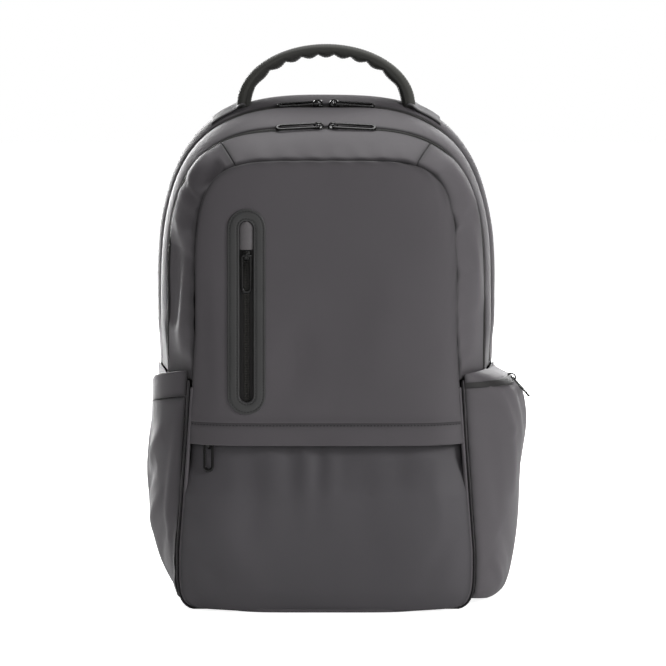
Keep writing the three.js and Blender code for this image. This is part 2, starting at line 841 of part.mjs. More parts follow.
// A flat strip swept along a path of points, width across X
function strip(path, width, thickness, steps, roundness) {
  const curve = new THREE.CatmullRomCurve3(path);
  const rings = spread(0, 1, steps).map((share) => {
    const point = curve.getPointAt(share);
    const along = curve.getTangentAt(share);
    const across = new THREE.Vector3(1, 0, 0).addScaledVector(along, -along.x).normalize();
    const out = across.clone().cross(along).normalize();
    const half = width / 2;
    const thick = thickness / 2;
    const section = [
      [-half + roundness, thick],
      [half - roundness, thick],
      [half, thick * stripEdge],
      [half, -thick * stripEdge],
      [half - roundness, -thick],
      [-half + roundness, -thick],
      [-half, -thick * stripEdge],
      [-half, thick * stripEdge],
    ];
    return section.map(([x, y]) => point.clone().addScaledVector(across, x).addScaledVector(out, y));
  });
  return loft(rings);
}

// The strap's route on the right side: distance from the middle, distance behind the back seam
// and height, as shares of half the bodyWidth, bodyDepth and bodyHeight
const strapRoute = [
  { x: 0.3, out: 0.13, height: 0.885 },
  { x: 0.35, out: 0.27, height: 0.82 },
  { x: 0.42, out: 0.41, height: 0.71 },
  { x: 0.49, out: 0.45, height: 0.575 },
  { x: 0.55, out: 0.38, height: 0.45 },
  { x: 0.59, out: 0.28, height: 0.35 },
];
const webbingRoute = [
  { x: 0.62, out: 0.2, height: 0.27 },
  { x: 0.68, out: 0.14, height: 0.18 },
  { x: 0.75, out: 0.105, height: 0.128 },
];

function routePoint(side, { x, out, height }) {
  return new THREE.Vector3(
    side * x * (bodyWidth / 2),
    seamAt(backSeam).y + out * bodyDepth,
    height * bodyHeight,
  );
}

function shoulderStrap(side) {
  return strip(strapRoute.map((row) => routePoint(side, row)), strapWidth, strapThickness, 18, 6);
}

function strapWebbing(side) {
  return strip(webbingRoute.map((row) => routePoint(side, row)), webbingWidth, webbingThickness, 6, 1);
}

// A frame with two slots between the padded strap and its webbing
function ladderLock(side) {
  const shape = new THREE.Shape();
  const halfWidth = lock.width / 2;
  const halfLength = lock.length / 2;
  shape.moveTo(-halfWidth, -halfLength);
  shape.lineTo(halfWidth, -halfLength);
  shape.lineTo(halfWidth, halfLength);
  shape.lineTo(-halfWidth, halfLength);
  const slotLength = (lock.length - 3 * lock.bar) / 2;
  for (const row of [0, 1]) {
    const low = -halfLength + lock.bar + row * (slotLength + lock.bar);
    const hole = new THREE.Path();
    hole.moveTo(-lock.slot / 2, low);
    hole.lineTo(-lock.slot / 2, low + slotLength);
    hole.lineTo(lock.slot / 2, low + slotLength);
    hole.lineTo(lock.slot / 2, low);
    shape.holes.push(hole);
  }
  const geometry = new THREE.ExtrudeGeometry(shape, { depth: lock.thickness, bevelEnabled: false });
  geometry.translate(0, 0, -lock.thickness / 2);
  const above = routePoint(side, strapRoute[strapRoute.length - 1]);
  const below = routePoint(side, webbingRoute[0]);
  const up = above.clone().sub(below).normalize();
  const across = new THREE.Vector3(1, 0, 0).addScaledVector(up, -up.x).normalize();
  const out = across.clone().cross(up);
  const turned = new THREE.Matrix4().makeBasis(across, up, out);
  turned.setPosition(above.clone().lerp(below, 0.5));
  return geometry.applyMatrix4(turned);
}

// A plate of cloth sewn on the back panel
function backPatch(x0, x1, z0, z1, thickness, columns) {
  const xs = spread(x0, x1, columns);
  const zs = spread(z0, z1, 3);
  const face = (lift) => grid(xs, zs, (x, z) => new THREE.Vector3(x, backFace(x, z) + lift, z));
  return sheet(face(gap + thickness), face(gap));
}

const strapTab = (side) =>
  backPatch(side * (tab.x - tab.width / 2), side * (tab.x + tab.width / 2), tab.bottom, tab.top, tab.thickness, 4);

// A slider and its pull sit in a frame: along is the way the pull lies, out the zip's outward
// direction. turned tells that the pull lies across the zip.
function sliderGeometry(turned, lead) {
  const length = turned ? slider.width : slider.length;
  const width = turned ? slider.length : slider.width;
  const body = new THREE.BoxGeometry(length, width, slider.thickness);
  body.translate(0, 0, slider.lift + slider.thickness / 2);
  const foot = slider.lift + slider.thickness * 0.6;
  const arch = (half, height, base) =>
    spread(0, Math.PI, 8).map(
      (angle) => new THREE.Vector2(lead + half * Math.cos(angle), base + height * Math.sin(angle) ** 0.8),
    );
  const half = bridge.half + lead * 0.6;
  const shape = new THREE.Shape(arch(half, bridge.height, foot));
  const floor = slider.lift + slider.thickness + 0.2;
  shape.holes.push(new THREE.Path(arch(half - bridge.band, bridge.height - bridge.band, floor).reverse()));
  const loop = new THREE.ExtrudeGeometry(shape, { depth: bridge.width, bevelEnabled: false });
  loop.rotateX(Math.PI / 2).translate(0, bridge.width / 2, 0);
  return toGeometry(toManifold(body).add(toManifold(loop)));
}

// A long loop of rod: a bar through the slider's bridge, two rails and a round end
function pullGeometry(length) {
  const half = pull.width / 2;
  const ring = (edge, start, end) => {
    const points = [new THREE.Vector2(start, -edge), new THREE.Vector2(end - edge, -edge)];
    for (const angle of spread(-Math.PI / 2, Math.PI / 2, 8).slice(1, -1)) {
      points.push(new THREE.Vector2(end - edge + edge * Math.cos(angle), edge * Math.sin(angle)));
    }
    points.push(new THREE.Vector2(end - edge, edge), new THREE.Vector2(start, edge));
    return points;
  };
  const shape = new THREE.Shape(ring(half, -pull.bar / 2, length));
  shape.holes.push(new THREE.Path(ring(half - pull.rail, pull.bar / 2, length - pull.rail).reverse()));
  const geometry = new THREE.ExtrudeGeometry(shape, { depth: pull.thickness, bevelEnabled: false });
  return geometry.translate(0, 0, -pull.thickness / 2);
}

// The angle that a pull rests at, above the zip's tangent, so that it clears points of the cloth
function restAngle(frame, hinge, length, cloth) {
  const limits = cloth.map((point) => {
    const from = point.clone().sub(hinge);
    const along = from.dot(frame.along);
    const across = Math.abs(from.dot(frame.across));
    if (along < pull.width / 2 || along > length || across > pull.width / 2 + 1) return -Infinity;
    return Math.atan2(from.dot(frame.out) + pullClearance + pull.thickness / 2, along);
  });
  const room = hingeHeight - slider.lift - slider.thickness - pull.thickness / 2 - gap / 2;
  return Math.max(-Math.atan2(room, slider.length / 2), ...limits);
}

function zipFrame(at, along, out) {
  const across = out.clone().cross(along).normalize();
  return { at, out, across, along: across.clone().cross(out).normalize() };
}

const frameMatrix = (along, across, out, at) =>
  new THREE.Matrix4().makeBasis(along, across, out).setPosition(at);

// A slider and its pull, both in the bag's frame
function zipPair(frame, length, cloth, turned = false, lead = 0) {
  const body = sliderGeometry(turned, lead);
  body.applyMatrix4(frameMatrix(frame.along, frame.across, frame.out, frame.at));
  const hinge = frame.at
    .clone()
    .addScaledVector(frame.out, hingeHeight)
    .addScaledVector(frame.along, lead * leadShare);
  const angle = restAngle(frame, hinge, length, cloth);
  const along = frame.along.clone().applyAxisAngle(frame.across, -angle);
  const out = frame.out.clone().applyAxisAngle(frame.across, -angle);
  const loop = pullGeometry(length).applyMatrix4(frameMatrix(along, frame.across, out, hinge));
  return { body, loop, hinge, axis: frame.across.clone().negate() };
}

// Points of the cloth around a zip of the arch
function archCloth(row, side) {
  const vs = spread(rowBeside(row, -zipHalf - 1), rowBeside(row, zipHalf + 1), 4);
  return grid(vs, spread(0, side * 0.5, 20), (v, s) => lifted(v, s, 0.4)).flat();
}

function archPair(row, side, distance, length) {
  const seam = seamAt(row);
  const s = archAt(seam, side * distance);
  const at = lifted(row, s, -zipSink);
  const along = tunnelPoint(row, s + side * 1e-3).sub(tunnelPoint(row, s - side * 1e-3)).normalize();
  const behind = lifted(rowBeside(row, -zipHalf), s, 0);
  const across = behind.sub(lifted(rowBeside(row, zipHalf), s, 0)).normalize();
  const out = across.cross(along).multiplyScalar(-side);
  return zipPair(zipFrame(at, along, out), length, archCloth(row, side));
}

function slotPair() {
  const height = pocketZip.top - garageLength - slotSliderDrop;
  const face = (z) => new THREE.Vector3(pocketZip.x, frontFace(pocketZip.x, z) - slotZipLift, z);
  const at = face(height);
  const along = face(height - 1).sub(at).normalize();
  const out = along.clone().cross(new THREE.Vector3(1, 0, 0)).normalize();
  const cloth = spread(height - slotPullLength * 1.2, height, 12).map(face);
  return zipPair(zipFrame(at, along, out), slotPullLength, cloth);
}

function lowerPair() {
  const face = (x, z) => new THREE.Vector3(x, frontFace(x, z) + recessAt(z), z);
  const at = face(lowerSliderX, lowerZipHeight);
  const xs = spread(lowerSliderX - pull.width * 0.75, lowerSliderX + pull.width * 0.75, 4);
  const cloth = grid(xs, spread(lowerZipHeight - lowerPullLength * 1.5, lowerZipHeight, 18), face).flat();
  const along = face(lowerSliderX, lowerZipHeight - slider.length / 3).sub(at).normalize();
  const slope = face(lowerSliderX + 1, lowerZipHeight).sub(face(lowerSliderX - 1, lowerZipHeight)).normalize();
  const out = along.clone().cross(slope).normalize();
  return zipPair(zipFrame(at, along, out), lowerPullLength, cloth, true, lowerLead);
}

function sidePair() {
  const a = sideSliderPlace;
  const b = (rightRimRow + rightZipRow) / 2;
  const at = rightPocketForm.place(a, b).addScaledVector(rightPocketForm.normal(a, b), -zipSink);
  const along = rightPocketForm.place(a, b - 0.1).sub(rightPocketForm.place(a, b + 0.1)).normalize();
  const cloth = grid(spread(a - 0.06, a + 0.06, 4), spread(b - 4, b, 24), rightPocketForm.place).flat();
  return zipPair(zipFrame(at, along, rightPocketForm.normal(a, b)), sidePullLength, cloth, true);
}

// Materials
const finish = (color, roughness, metalness = 0) =>
  new THREE.MeshStandardMaterial({ color, roughness, metalness });
const cloth = finish(0x4f4d50, 0.7);
const lowerCloth = finish(0x494749, 0.72);
const clothLight = finish(0x5a575a, 0.7);
const zipTape = finish(0x252423, 0.8);
const handleCloth = finish(0x4a4a46, 0.85);
const bonded = finish(0x3b3b3b, 0.5);
const mesh = finish(0x3a3a3c, 0.95);
const webbing = finish(0x2c2c2e, 0.85);
const plastic = finish(0x18181a, 0.45);
const metal = finish(0x1c1a18, 0.3, 0.8);

const bag = new THREE.Group();

function add(name, geometry, material) {
  const piece = new THREE.Mesh(geometry, material);
  piece.name = name;
  bag.add(piece);
  return piece;
}

add("back_panel", backPanel(), mesh);
add("back_gusset", backGusset(), cloth);
add("main_zip", archZip(mainZipSeam), zipTape);
add("middle_gusset", middleGusset(), clothLight);
add("front_zip", archZip(frontZipSeam), zipTape);
add("front_gusset_top", frontGussetTop(), clothLight);
add("divider", divider(), lowerCloth);
add("bottom_panel", bottomPanel(), lowerCloth);
add("front_panel", frontPanel(), cloth);
add("pocket_frame", pocketFrame(), bonded);
add("pocket_zip", slotZip(), zipTape);
add("zip_garage", zipGarage(), clothLight);
add("hem_flap", hemFlap(), cloth);
add("lower_zip", lowerZip(), zipTape);
add("lower_pocket", lowerPocket(), lowerCloth);
add("pocket_back", pocketBack(), lowerCloth);
add("left_pocket", pocketPiece(leftPocketForm, 0, leftHemRow - rowGap, 9, 12), lowerCloth);
add(
  "left_pocket_hem",
  pocketPiece(leftPocketForm, leftHemRow + rowGap, 10, 2, 12, hemBandThickness, hemBandThickness - pocketWall),
  cloth,
);
add("right_pocket", pocketPiece(rightPocketForm, 0, rightRimRow - rowGap, 12, 12), clothLight);
add(
  "right_pocket_zip",
  pocketPiece(rightPocketForm, rightRimRow + rowGap, rightZipRow - rowGap, 1, 12, zipThickness, -zipSink / 2),
  zipTape,
);
add("right_pocket_top", pocketPiece(rightPocketForm, rightZipRow + rowGap, 13, 3, 12), clothLight);
add("handle_grip", handleGrip(), handleCloth);
add("strap_yoke", backPatch(-yoke.width / 2, yoke.width / 2, yoke.bottom, yoke.top, yoke.thickness, 8), cloth);

for (const [word, side] of [["left", -1], ["right", 1]]) {
  add(`front_gusset_${word}`, frontGussetSide(side), cloth);
  add(`side_panel_${word}`, sidePanel(side), cloth);
  add(`handle_anchor_${word}`, handleAnchor(side), handleCloth);
  add(`shoulder_strap_${word}`, shoulderStrap(side), mesh);
  add(`strap_webbing_${word}`, strapWebbing(side), webbing);
  add(`ladder_lock_${word}`, ladderLock(side), plastic);
  add(`strap_tab_${word}`, strapTab(side), webbing);
}

// A pull keeps the axis that it turns about, in the bag's frame
function addPair(name, { body, loop, hinge, axis }) {
  add(`${name}_slider`, body, metal);
  add(`${name}_pull`, loop, metal).userData = { hinge, axis };
}

for (const [word, side] of [["left", -1], ["right", 1]]) {
  addPair(`main_${word}`, archPair(mainZipSeam, side, mainSliderPlace, mainPullLength));
  addPair(`front_${word}`, archPair(frontZipSeam, side, frontSliderPlace, frontPullLength));
}
addPair("pocket", slotPair());
addPair("lower", lowerPair());
addPair("side", sidePair());

// The bag's origin is the middle of its box, on the floor
const box = new THREE.Box3().setFromObject(bag);
const centre = box.getCenter(new THREE.Vector3());
bag.position.set(-centre.x, -centre.y, -box.min.z);

export default bag;
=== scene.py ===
# %% [markdown]
# # A laptop backpack in dark cloth
# The backpack stands upright and is seen from the front. Its body is an arch of cloth with two
# long zips, a front panel with an upright zipped pocket, a lower pocket under a hem flap, a side
# pocket on each side, a padded handle, and shoulder straps behind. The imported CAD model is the
# fixed frame: every soft solid is dressed here with a finer piece that has rolled seams, folds,
# stitches and a woven finish. Lengths are in millimetres in the bag's own axes, with x from its
# middle, y from its mid depth and z from the floor, and become metres when a mesh is made.

# %% Load the fixed frame
import json
import math

import bmesh
import bpy
import numpy as np
from mathutils import Matrix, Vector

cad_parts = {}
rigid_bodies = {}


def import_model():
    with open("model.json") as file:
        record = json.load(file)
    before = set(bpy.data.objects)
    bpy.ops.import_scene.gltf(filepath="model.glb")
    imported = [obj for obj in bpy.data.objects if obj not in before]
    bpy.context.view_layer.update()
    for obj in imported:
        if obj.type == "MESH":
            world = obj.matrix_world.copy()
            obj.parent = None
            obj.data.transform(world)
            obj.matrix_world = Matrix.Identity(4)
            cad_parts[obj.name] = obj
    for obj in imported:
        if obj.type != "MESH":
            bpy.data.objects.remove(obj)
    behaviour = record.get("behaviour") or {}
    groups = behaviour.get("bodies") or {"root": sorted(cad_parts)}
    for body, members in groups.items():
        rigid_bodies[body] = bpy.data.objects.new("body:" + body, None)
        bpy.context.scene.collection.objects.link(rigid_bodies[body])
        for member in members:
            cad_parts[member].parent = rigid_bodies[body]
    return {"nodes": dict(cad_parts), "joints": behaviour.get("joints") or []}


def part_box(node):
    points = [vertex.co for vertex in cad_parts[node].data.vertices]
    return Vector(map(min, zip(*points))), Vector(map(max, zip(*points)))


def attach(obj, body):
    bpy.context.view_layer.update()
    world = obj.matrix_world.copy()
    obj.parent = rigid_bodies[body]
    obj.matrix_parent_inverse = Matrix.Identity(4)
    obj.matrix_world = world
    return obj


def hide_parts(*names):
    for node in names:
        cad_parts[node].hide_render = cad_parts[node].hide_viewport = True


for leftover in list(bpy.data.objects):
    bpy.data.objects.remove(leftover)
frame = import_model()
bpy.context.view_layer.update()

# %% [markdown]
# ## The driving sizes
# A sewn bag is cut from flat patterns, and all its seams follow from a few sizes. They are the
# same ones that the solids were made from, so each dressed piece lies where its solid lies.

# %% Driving sizes
body_width, body_height, body_depth = 306.0, 442.8, 144.0
shoulder_height, corner_height, side_bend = 240.0, 50.0, 1.15
front_lean, front_swell, face_fullness = 27.0, 20.0, 6
wall, pocket_wall, gap = 2.0, 1.6, 0.4
puff_height, puff_fade = 2.4, 30.0
zip_width, zip_sink, zip_thickness = 10.0, 0.8, 1.2
side_top, hem_top, hem_bottom, lower_zip_height = 200.0, 164.7, 145.2, 149.9
hem_recess, hem_thickness, recess_start, recess_end = 9.4, 1.6, 137.0, 98.0
back_padding, back_edge = 7.0, 2.6
slot_x, slot_bottom, slot_top, slot_width = -68.9, 182.7, 339.3, 12.4
frame_margin, frame_thickness = 10.4, 0.9
garage_length, garage_crown = 24.5, 0.5
pocket_height, left_room, right_room = 208.0, 15.0, 31.0
cross_seam = 0.392

BACK, MAIN_ZIP, FRONT_ZIP, FRONT = 0, 1, 2, 3
high_corner = np.array(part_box("side_panel_left")[1]) * 1000
gusset_low, gusset_high = (np.array(corner) * 1000 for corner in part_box("back_gusset"))
bag_shift = np.array([(gusset_low[0] + gusset_high[0]) / 2, high_corner[1] - body_depth / 2, 0])
print("the bag's axes start at", bag_shift.round(3), "mm")

# %% [markdown]
# ## The seams
# Four seams run around the body: the back seam, two zips and the front seam. Each row holds its
# depth, top, shoulder width, the exponent of its arch, its lower width, the exponent of its
# corner, its foot width and its lean. A place between two seams mixes their rows.

# %% Seams of the body
seam_columns = ["depth", "top", "shoulder", "arch", "low", "corner", "foot", "lean"]
seam_rows = np.array([
    [1, 1, 1, 3.08, 0.954, 2, 0.686, 0],
    [0.792, 0.9815, 0.971, 3.15, 0.941, 2.2, 0.67, 0],
    [0.465, 0.9417, 0.923, 3.56, 0.908, 3, 0.64, 0],
    [0, 0.885, 0.754, 5.05, 0.84, 5, 0.575, 1],
])
face_swell = np.array([
    [0, 0.8], [0.05, 0.92], [0.16, 1], [0.27, 0.9], [0.37, 0.7], [0.65, 0.46], [1, 0.4],
])


def mix(a, b, share):
    return a + (b - a) * share


def smooth(share):
    share = np.clip(share, 0, 1)
    return share * share * (3 - 2 * share)


def unit(vectors):
    return vectors / np.maximum(np.linalg.norm(vectors, axis=-1, keepdims=True), 1e-12)


def seam(v):
    """The seam at a fractional row, its lengths in millimetres."""
    row = {name: np.interp(v, range(4), seam_rows[:, i]) for i, name in enumerate(seam_columns)}
    row["y"] = (row["depth"] - 0.5) * body_depth
    row["rise"] = row["top"] * body_height - shoulder_height
    for name in ("shoulder", "low", "foot"):
        row[name] = row[name] * body_width / 2
    row["lean"] = row["lean"] * front_lean
    return row


def outline(v, s):
    """x and z on a seam. s runs from the top (0) over the shoulder (1), the corner (2) and the
    foot (2.5) to the middle of the floor (3), to the left where it is negative."""
    row = seam(v)
    side, along = np.where(np.asarray(s) < 0, -1, 1), np.abs(s)
    turn = np.clip(along, 0, 1) * math.pi / 2
    across, up = np.sin(turn), np.maximum(np.cos(turn), 0)
    reach = (across ** row["arch"] + up ** row["arch"]) ** (-1 / row["arch"])
    down = np.clip(along - 1, 0, 1)
    bend = np.clip(along - 2, 0, 0.5) * math.pi
    inward = np.maximum(np.cos(bend), 0) ** (2 / row["corner"])
    drop = np.sin(bend) ** (2 / row["corner"])
    part = [along <= 1, along <= 2, along < 2.5]
    x = np.select(part, [
        row["shoulder"] * reach * across,
        mix(row["shoulder"], row["low"], down ** side_bend),
        mix(row["foot"], row["low"], inward),
    ], row["foot"] * (3 - along) * 2)
    z = np.select(part, [
        shoulder_height + row["rise"] * reach * up,
        mix(shoulder_height, corner_height, down),
        corner_height * (1 - drop),
    ], 0.0)
    return side * x, z


def side_at(v, z):
    """s of the side at a height."""
    straight = 1 + (shoulder_height - z) / (shoulder_height - corner_height)
    low = np.clip(1 - z / corner_height, 0, 1) ** (seam(v)["corner"] / 2)
    return np.where(z >= corner_height, straight, 2 + np.arcsin(low) / math.pi)


def arch_at(v, x):
    """s of the arch at a distance from the middle."""
    row = seam(v)
    across = np.minimum(np.abs(x) / row["shoulder"], 1)
    up = (1 - across ** row["arch"]) ** (1 / row["arch"])
    return np.sign(x) * np.arctan2(across, up) / (math.pi / 2)


def half_at(v, z):
    """Half the width of a seam at a height."""
    row = seam(v)
    up = np.clip((z - shoulder_height) / row["rise"], 0, 1)
    arch = row["shoulder"] * (1 - up ** row["arch"]) ** (1 / row["arch"])
    return np.where(z > shoulder_height, arch, outline(v, side_at(v, z))[0])


def near_seam(v, x, z):
    """0 in the middle of a face, 1 on the seam around it."""
    row = seam(v)
    across = np.abs(x) / row["shoulder"]
    up = np.maximum(0, (z - shoulder_height) / row["rise"])
    arch = (across ** row["arch"] + up ** row["arch"]) ** (1 / row["arch"])
    return np.where(z <= shoulder_height, np.abs(x) / half_at(v, z), arch)


def swell_at(z):
    heights, swells = face_swell.T
    at = np.clip(np.asarray(z) / body_height, 0, 1)
    i = np.clip(np.searchsorted(heights, at, side="right") - 1, 0, len(heights) - 2)
    share = (at - heights[i]) / (heights[i + 1] - heights[i])
    return front_swell * mix(swells[i], swells[i + 1], smooth(share))


def fullness(near):
    return 1 - np.minimum(1, near) ** face_fullness


def lean_at(v, z):
    row = seam(v)
    return row["lean"] * z / (shoulder_height + row["rise"])


def tunnel(v, s):
    """A point of the body between the back seam and the front seam."""
    v, s = np.broadcast_arrays(np.asarray(v, float), np.asarray(s, float))
    x, z = outline(v, s)
    row = seam(v)
    on_floor = np.where(np.abs(s) > 2.5, fullness(np.abs(x) / row["foot"]), 0)
    forward = np.maximum(0, v - FRONT_ZIP) * swell_at(0) * on_floor
    return np.stack([x, row["y"] + lean_at(v, z) - forward, z], -1)


def tunnel_normal(v, s):
    step = 1e-3
    (x0, z0), (x1, z1) = outline(v, np.asarray(s) - step), outline(v, np.asarray(s) + step)
    return unit(np.stack([z0 - z1, 0 * x0, x1 - x0], -1))


def lifted(v, s, lift):
    return tunnel(v, s) + tunnel_normal(v, s) * lift


def row_beside(row, distance):
    """A fractional row some millimetres towards the front from a seam."""
    beyond = row + (1 if distance > 0 else -1)
    return row + distance / abs(seam(beyond)["y"] - seam(row)["y"])


def front_face(x, z):
    row = seam(FRONT)
    return row["y"] + lean_at(FRONT, z) - swell_at(z) * fullness(near_seam(FRONT, x, z))


def back_face(x, z):
    near = np.minimum(1, near_seam(BACK, x, z))
    return seam(BACK)["y"] + gap + back_edge + back_padding * (1 - near ** 4)


side_seam = float(side_at(BACK, side_top))
side_gap = gap / (shoulder_height - corner_height)
print("the side panels start at s =", round(side_seam, 3))

# %% [markdown]
# ## From a surface to a sewn piece
# Real cloth rolls down into its seams, and a hem ends in a soft fold. Both are made from the
# distance to the rim of a grid of points: near a sewn rim the cloth sinks, and near a folded rim
# its two faces close on each other. The grid gets finer there, so the roll stays round.

# %% Grids of points
fine_marks = np.array([0, 0.15, 0.45, 0.9, 1.6, 2.6, 3.8])


def marks(length, step, start=True, end=True):
    """Places along a length, finer near its ends."""
    low = fine_marks if start else np.array([0.0])
    high = length - (fine_marks[::-1] if end else np.array([0.0]))
    count = max(2, round((high[0] - low[-1]) / step))
    return np.concatenate([low, np.linspace(low[-1], high[0], count + 1)[1:-1], high])


def paced(curve, start, stop, step, fine=(True, True)):
    """Values of a curve's parameter whose points lie the marks apart."""
    values = np.linspace(start, stop, 3001)
    lengths = np.linalg.norm(np.diff(curve(values), axis=0), axis=1)
    along = np.concatenate([[0], np.cumsum(lengths)])
    return np.interp(marks(along[-1], step, *fine), along, values)


def grid(us, vs):
    return np.meshgrid(us, vs, indexing="ij")


def face_normals(points, wrap=False):
    """Directions across a grid of points."""
    if wrap:
        along = np.roll(points, -1, 0) - np.roll(points, 1, 0)
    else:
        along = np.gradient(points, axis=0)
    return unit(np.cross(along, np.gradient(points, axis=1)))


def travelled(points, axis):
    """Distance along a grid from its first line."""
    lengths = np.linalg.norm(np.diff(points, axis=axis), axis=-1)
    start = np.zeros_like(lengths.take([0], axis=axis))
    return np.concatenate([start, np.cumsum(lengths, axis=axis)], axis=axis)


def rim_distances(points):
    across, along = travelled(points, 0), travelled(points, 1)
    return {"u0": across, "u1": across[-1:] - across, "v0": along, "v1": along[:, -1:] - along}


# A seam's groove gets painted shade: its colour darkens over this reach.
seam_shade_reach = 2.1  # how far the shade of a seam reaches
fold_reach = 0.75  # a folded rim closes over this share of the thickness


def roll(distance, radius, depth):
    """How far cloth has sunk at a distance from its seam."""
    left = 1 - np.clip(distance / radius, 0, 1)
    return depth * (1 - np.sqrt(1 - left * left))


print("grids get finer within", fine_marks[-1], "mm of a seam")


# %% Meshes and pieces
def quads(us, vs, wrap=False):
    i, j = grid(np.arange(us if wrap else us - 1), np.arange(vs - 1))
    here, beyond = i * vs + j, ((i + 1) % us) * vs + j
    return np.stack([here, beyond, beyond + 1, here + 1], -1).reshape(-1, 4)


def closed_faces(us, vs, wrap=False):
    """Faces of a sheet with an outer and an inner grid, joined around its rims."""
    outer = quads(us, vs, wrap)
    inside = us * vs
    faces = [outer, outer[:, ::-1] + inside]
    i = np.arange(us if wrap else us - 1)
    beyond = (i + 1) % us
    for j, turn in ((0, 1), (vs - 1, -1)):
        rim = np.stack([i * vs + j, i * vs + j + inside, beyond * vs + j + inside, beyond * vs + j], -1)
        faces.append(rim[:, ::turn])
    if not wrap:
        j = np.arange(vs - 1)
        for edge, turn in ((0, -1), ((us - 1) * vs, 1)):
            rim = np.stack([edge + j, edge + j + inside, edge + j + 1 + inside, edge + j + 1], -1)
            faces.append(rim[:, ::turn])
    return np.concatenate(faces)


def add_mesh(name, points, faces, finish, uv=None, rim=None):
    """A smooth mesh object from points in the bag's millimetres."""
    points = (np.asarray(points).reshape(-1, 3) + bag_shift) / 1000
    points[:, 2] = np.maximum(points[:, 2], 0)  # the bag rests on the floor
    corners = points[faces]
    if len(faces[0]) == 4:
        a, b, c, d = (corners[:, i] for i in range(4))
        volume = np.sum(a * np.cross(b, c)) + np.sum(a * np.cross(c, d))
    else:
        volume = np.sum(corners[:, 0] * np.cross(corners[:, 1], corners[:, 2]))
    if volume < 0:
        faces = faces[:, ::-1]
    mesh = bpy.data.meshes.new(name)
    mesh.from_pydata(points.tolist(), [], faces.tolist())
    mesh.shade_smooth()
    mesh.materials.append(finish)
    if uv is not None:
        layer = mesh.uv_layers.new(name="cloth")
        layer.data.foreach_set("uv", (uv.reshape(-1, 2)[faces.reshape(-1)] / 1000).ravel())
    # The rim value darkens the colour in the finish: painted shade along seams, under the handle and in
    # the back's channels.
    if rim is not None:
        mesh.attributes.new("rim", "FLOAT", "POINT").data.foreach_set("value", rim.ravel())
    shape = bpy.data.objects.new(name, mesh)
    bpy.context.scene.collection.objects.link(shape)
    return shape


def place(shape, nodes=(), body="bag"):
    """Attaches a piece to the body it moves with and hides the solids it stands for."""
    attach(shape, body)
    if nodes:
        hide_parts(*nodes)
    return shape


def sew(name, points, thickness, finish, nodes=(), rims=None, raised=0.0, flip=False,
        uv=None, inner=None):
    """A piece of cloth over a grid of points. Each rim is sewn (radius, depth) or folded ("fold")."""
    normals = face_normals(points) * (-1 if flip else 1)
    distances = rim_distances(points)
    if uv is None:
        uv = np.stack([travelled(points, 0), travelled(points, 1)], -1)
    sunk, core, rim = 0.0, 1.0, np.zeros(points.shape[:2])
    for side, kind in (rims or {}).items():
        distance = np.broadcast_to(distances[side], rim.shape)
        if kind == "fold":
            left = 1 - np.clip(distance / (thickness * fold_reach), 0, 1)
            core = np.minimum(core, np.sqrt(1 - left * left))
        else:
            sunk = sunk + roll(distance, *kind)
            # A sewn rim carries painted shade: the rim value darkens the colour in its groove.
            rim = np.maximum(rim, np.exp(-distance / seam_shade_reach))
    close = thickness / 2 * (1 - core)
    above = points + normals * np.asarray(raised - sunk - close)[..., None]
    base = points if inner is None else inner
    below = base - normals * np.asarray(thickness - close)[..., None]
    if inner is None:
        below = below + normals * np.asarray(raised + 0 * close)[..., None]
    both = np.concatenate([above.reshape(-1, 3), below.reshape(-1, 3)])
    faces = closed_faces(*points.shape[:2])
    both_uv = np.concatenate([uv.reshape(-1, 2)] * 2)
    both_rim = np.concatenate([rim.ravel()] * 2)
    shape = add_mesh(name, both, faces, finish, both_uv, both_rim)
    return place(shape, nodes)


# %% [markdown]
# ## Folds, ripples and puckers
# Cloth that is sewn to other cloth is never flat: it swells in soft hills, folds along short lines
# and gathers beside its seams. That could be sculpted or simulated. Here each is a formula over the
# piece's points, so a fold that the photo shows lies where it belongs, in every run the same.

# %% Folds, ripples and puckers
fold_strength = 1.5  # how much deeper all folds are than their written heights


def waves(points, size, seed):
    """Soft uneven hills between -1 and 1, about a size across."""
    random = np.random.default_rng(seed)
    total = 0
    for _ in range(7):
        direction = unit(random.normal(size=3)) * random.uniform(0.7, 1.4)
        total = total + np.sin(points @ direction * (2 * math.pi / size) + random.uniform(0, 6.3))
    return total / 4


def folds(points, rows, axes=(0, 2)):
    """Ridges (+) and dents (-) along short lines: two ends, half width and height."""
    place_on = points[..., axes]
    total = np.zeros(points.shape[:-1])
    for x0, z0, x1, z1, width, height in rows:
        start, line = np.array([x0, z0]), np.array([x1 - x0, z1 - z0])
        share = ((place_on - start) @ line) / (line @ line)
        near = np.clip(share, 0, 1)
        distance = np.linalg.norm(place_on - start - near[..., None] * line, axis=-1)
        fade = np.sin(math.pi * np.clip(share * 0.8 + 0.1, 0, 1)) ** 0.7
        total += fold_strength * height * np.exp(-((distance / width) ** 2)) * fade
    return total


def puckers(along, distance, pitch, depth, reach, seed):
    """Small gathers that a seam pulls into the cloth beside it."""
    shift = np.random.default_rng(seed).uniform(0, 6.3)
    uneven = along / pitch + 0.35 * np.sin(along / (pitch * 2.3) + shift) + shift
    swing = np.sin(2 * math.pi * uneven) * (0.6 + 0.4 * np.sin(along / (pitch * 3.7) + 2 * shift))
    return depth * swing * np.exp(-distance / reach)


print("folds are", fold_strength, "times their written heights")

# %% [markdown]
# ## Finishes
# The cloth is a dense polyester twill with a soft satin look: the colour hardly changes, but the
# gloss and the sheen do. A picture of cloth would repeat and blur up close, so one node group
# draws the weave from the piece's own UV map, which follows each pattern piece, and adds the soft
# creases that handling leaves. It also paints shade along the seams: the rim that the pieces carry
# darkens their colour there.

# %% Shader helpers
def srgb(r, g, b):
    def channel(value):
        value /= 255
        return value / 12.92 if value <= 0.04045 else ((value + 0.055) / 1.055) ** 2.4
    return (channel(r), channel(g), channel(b), 1)


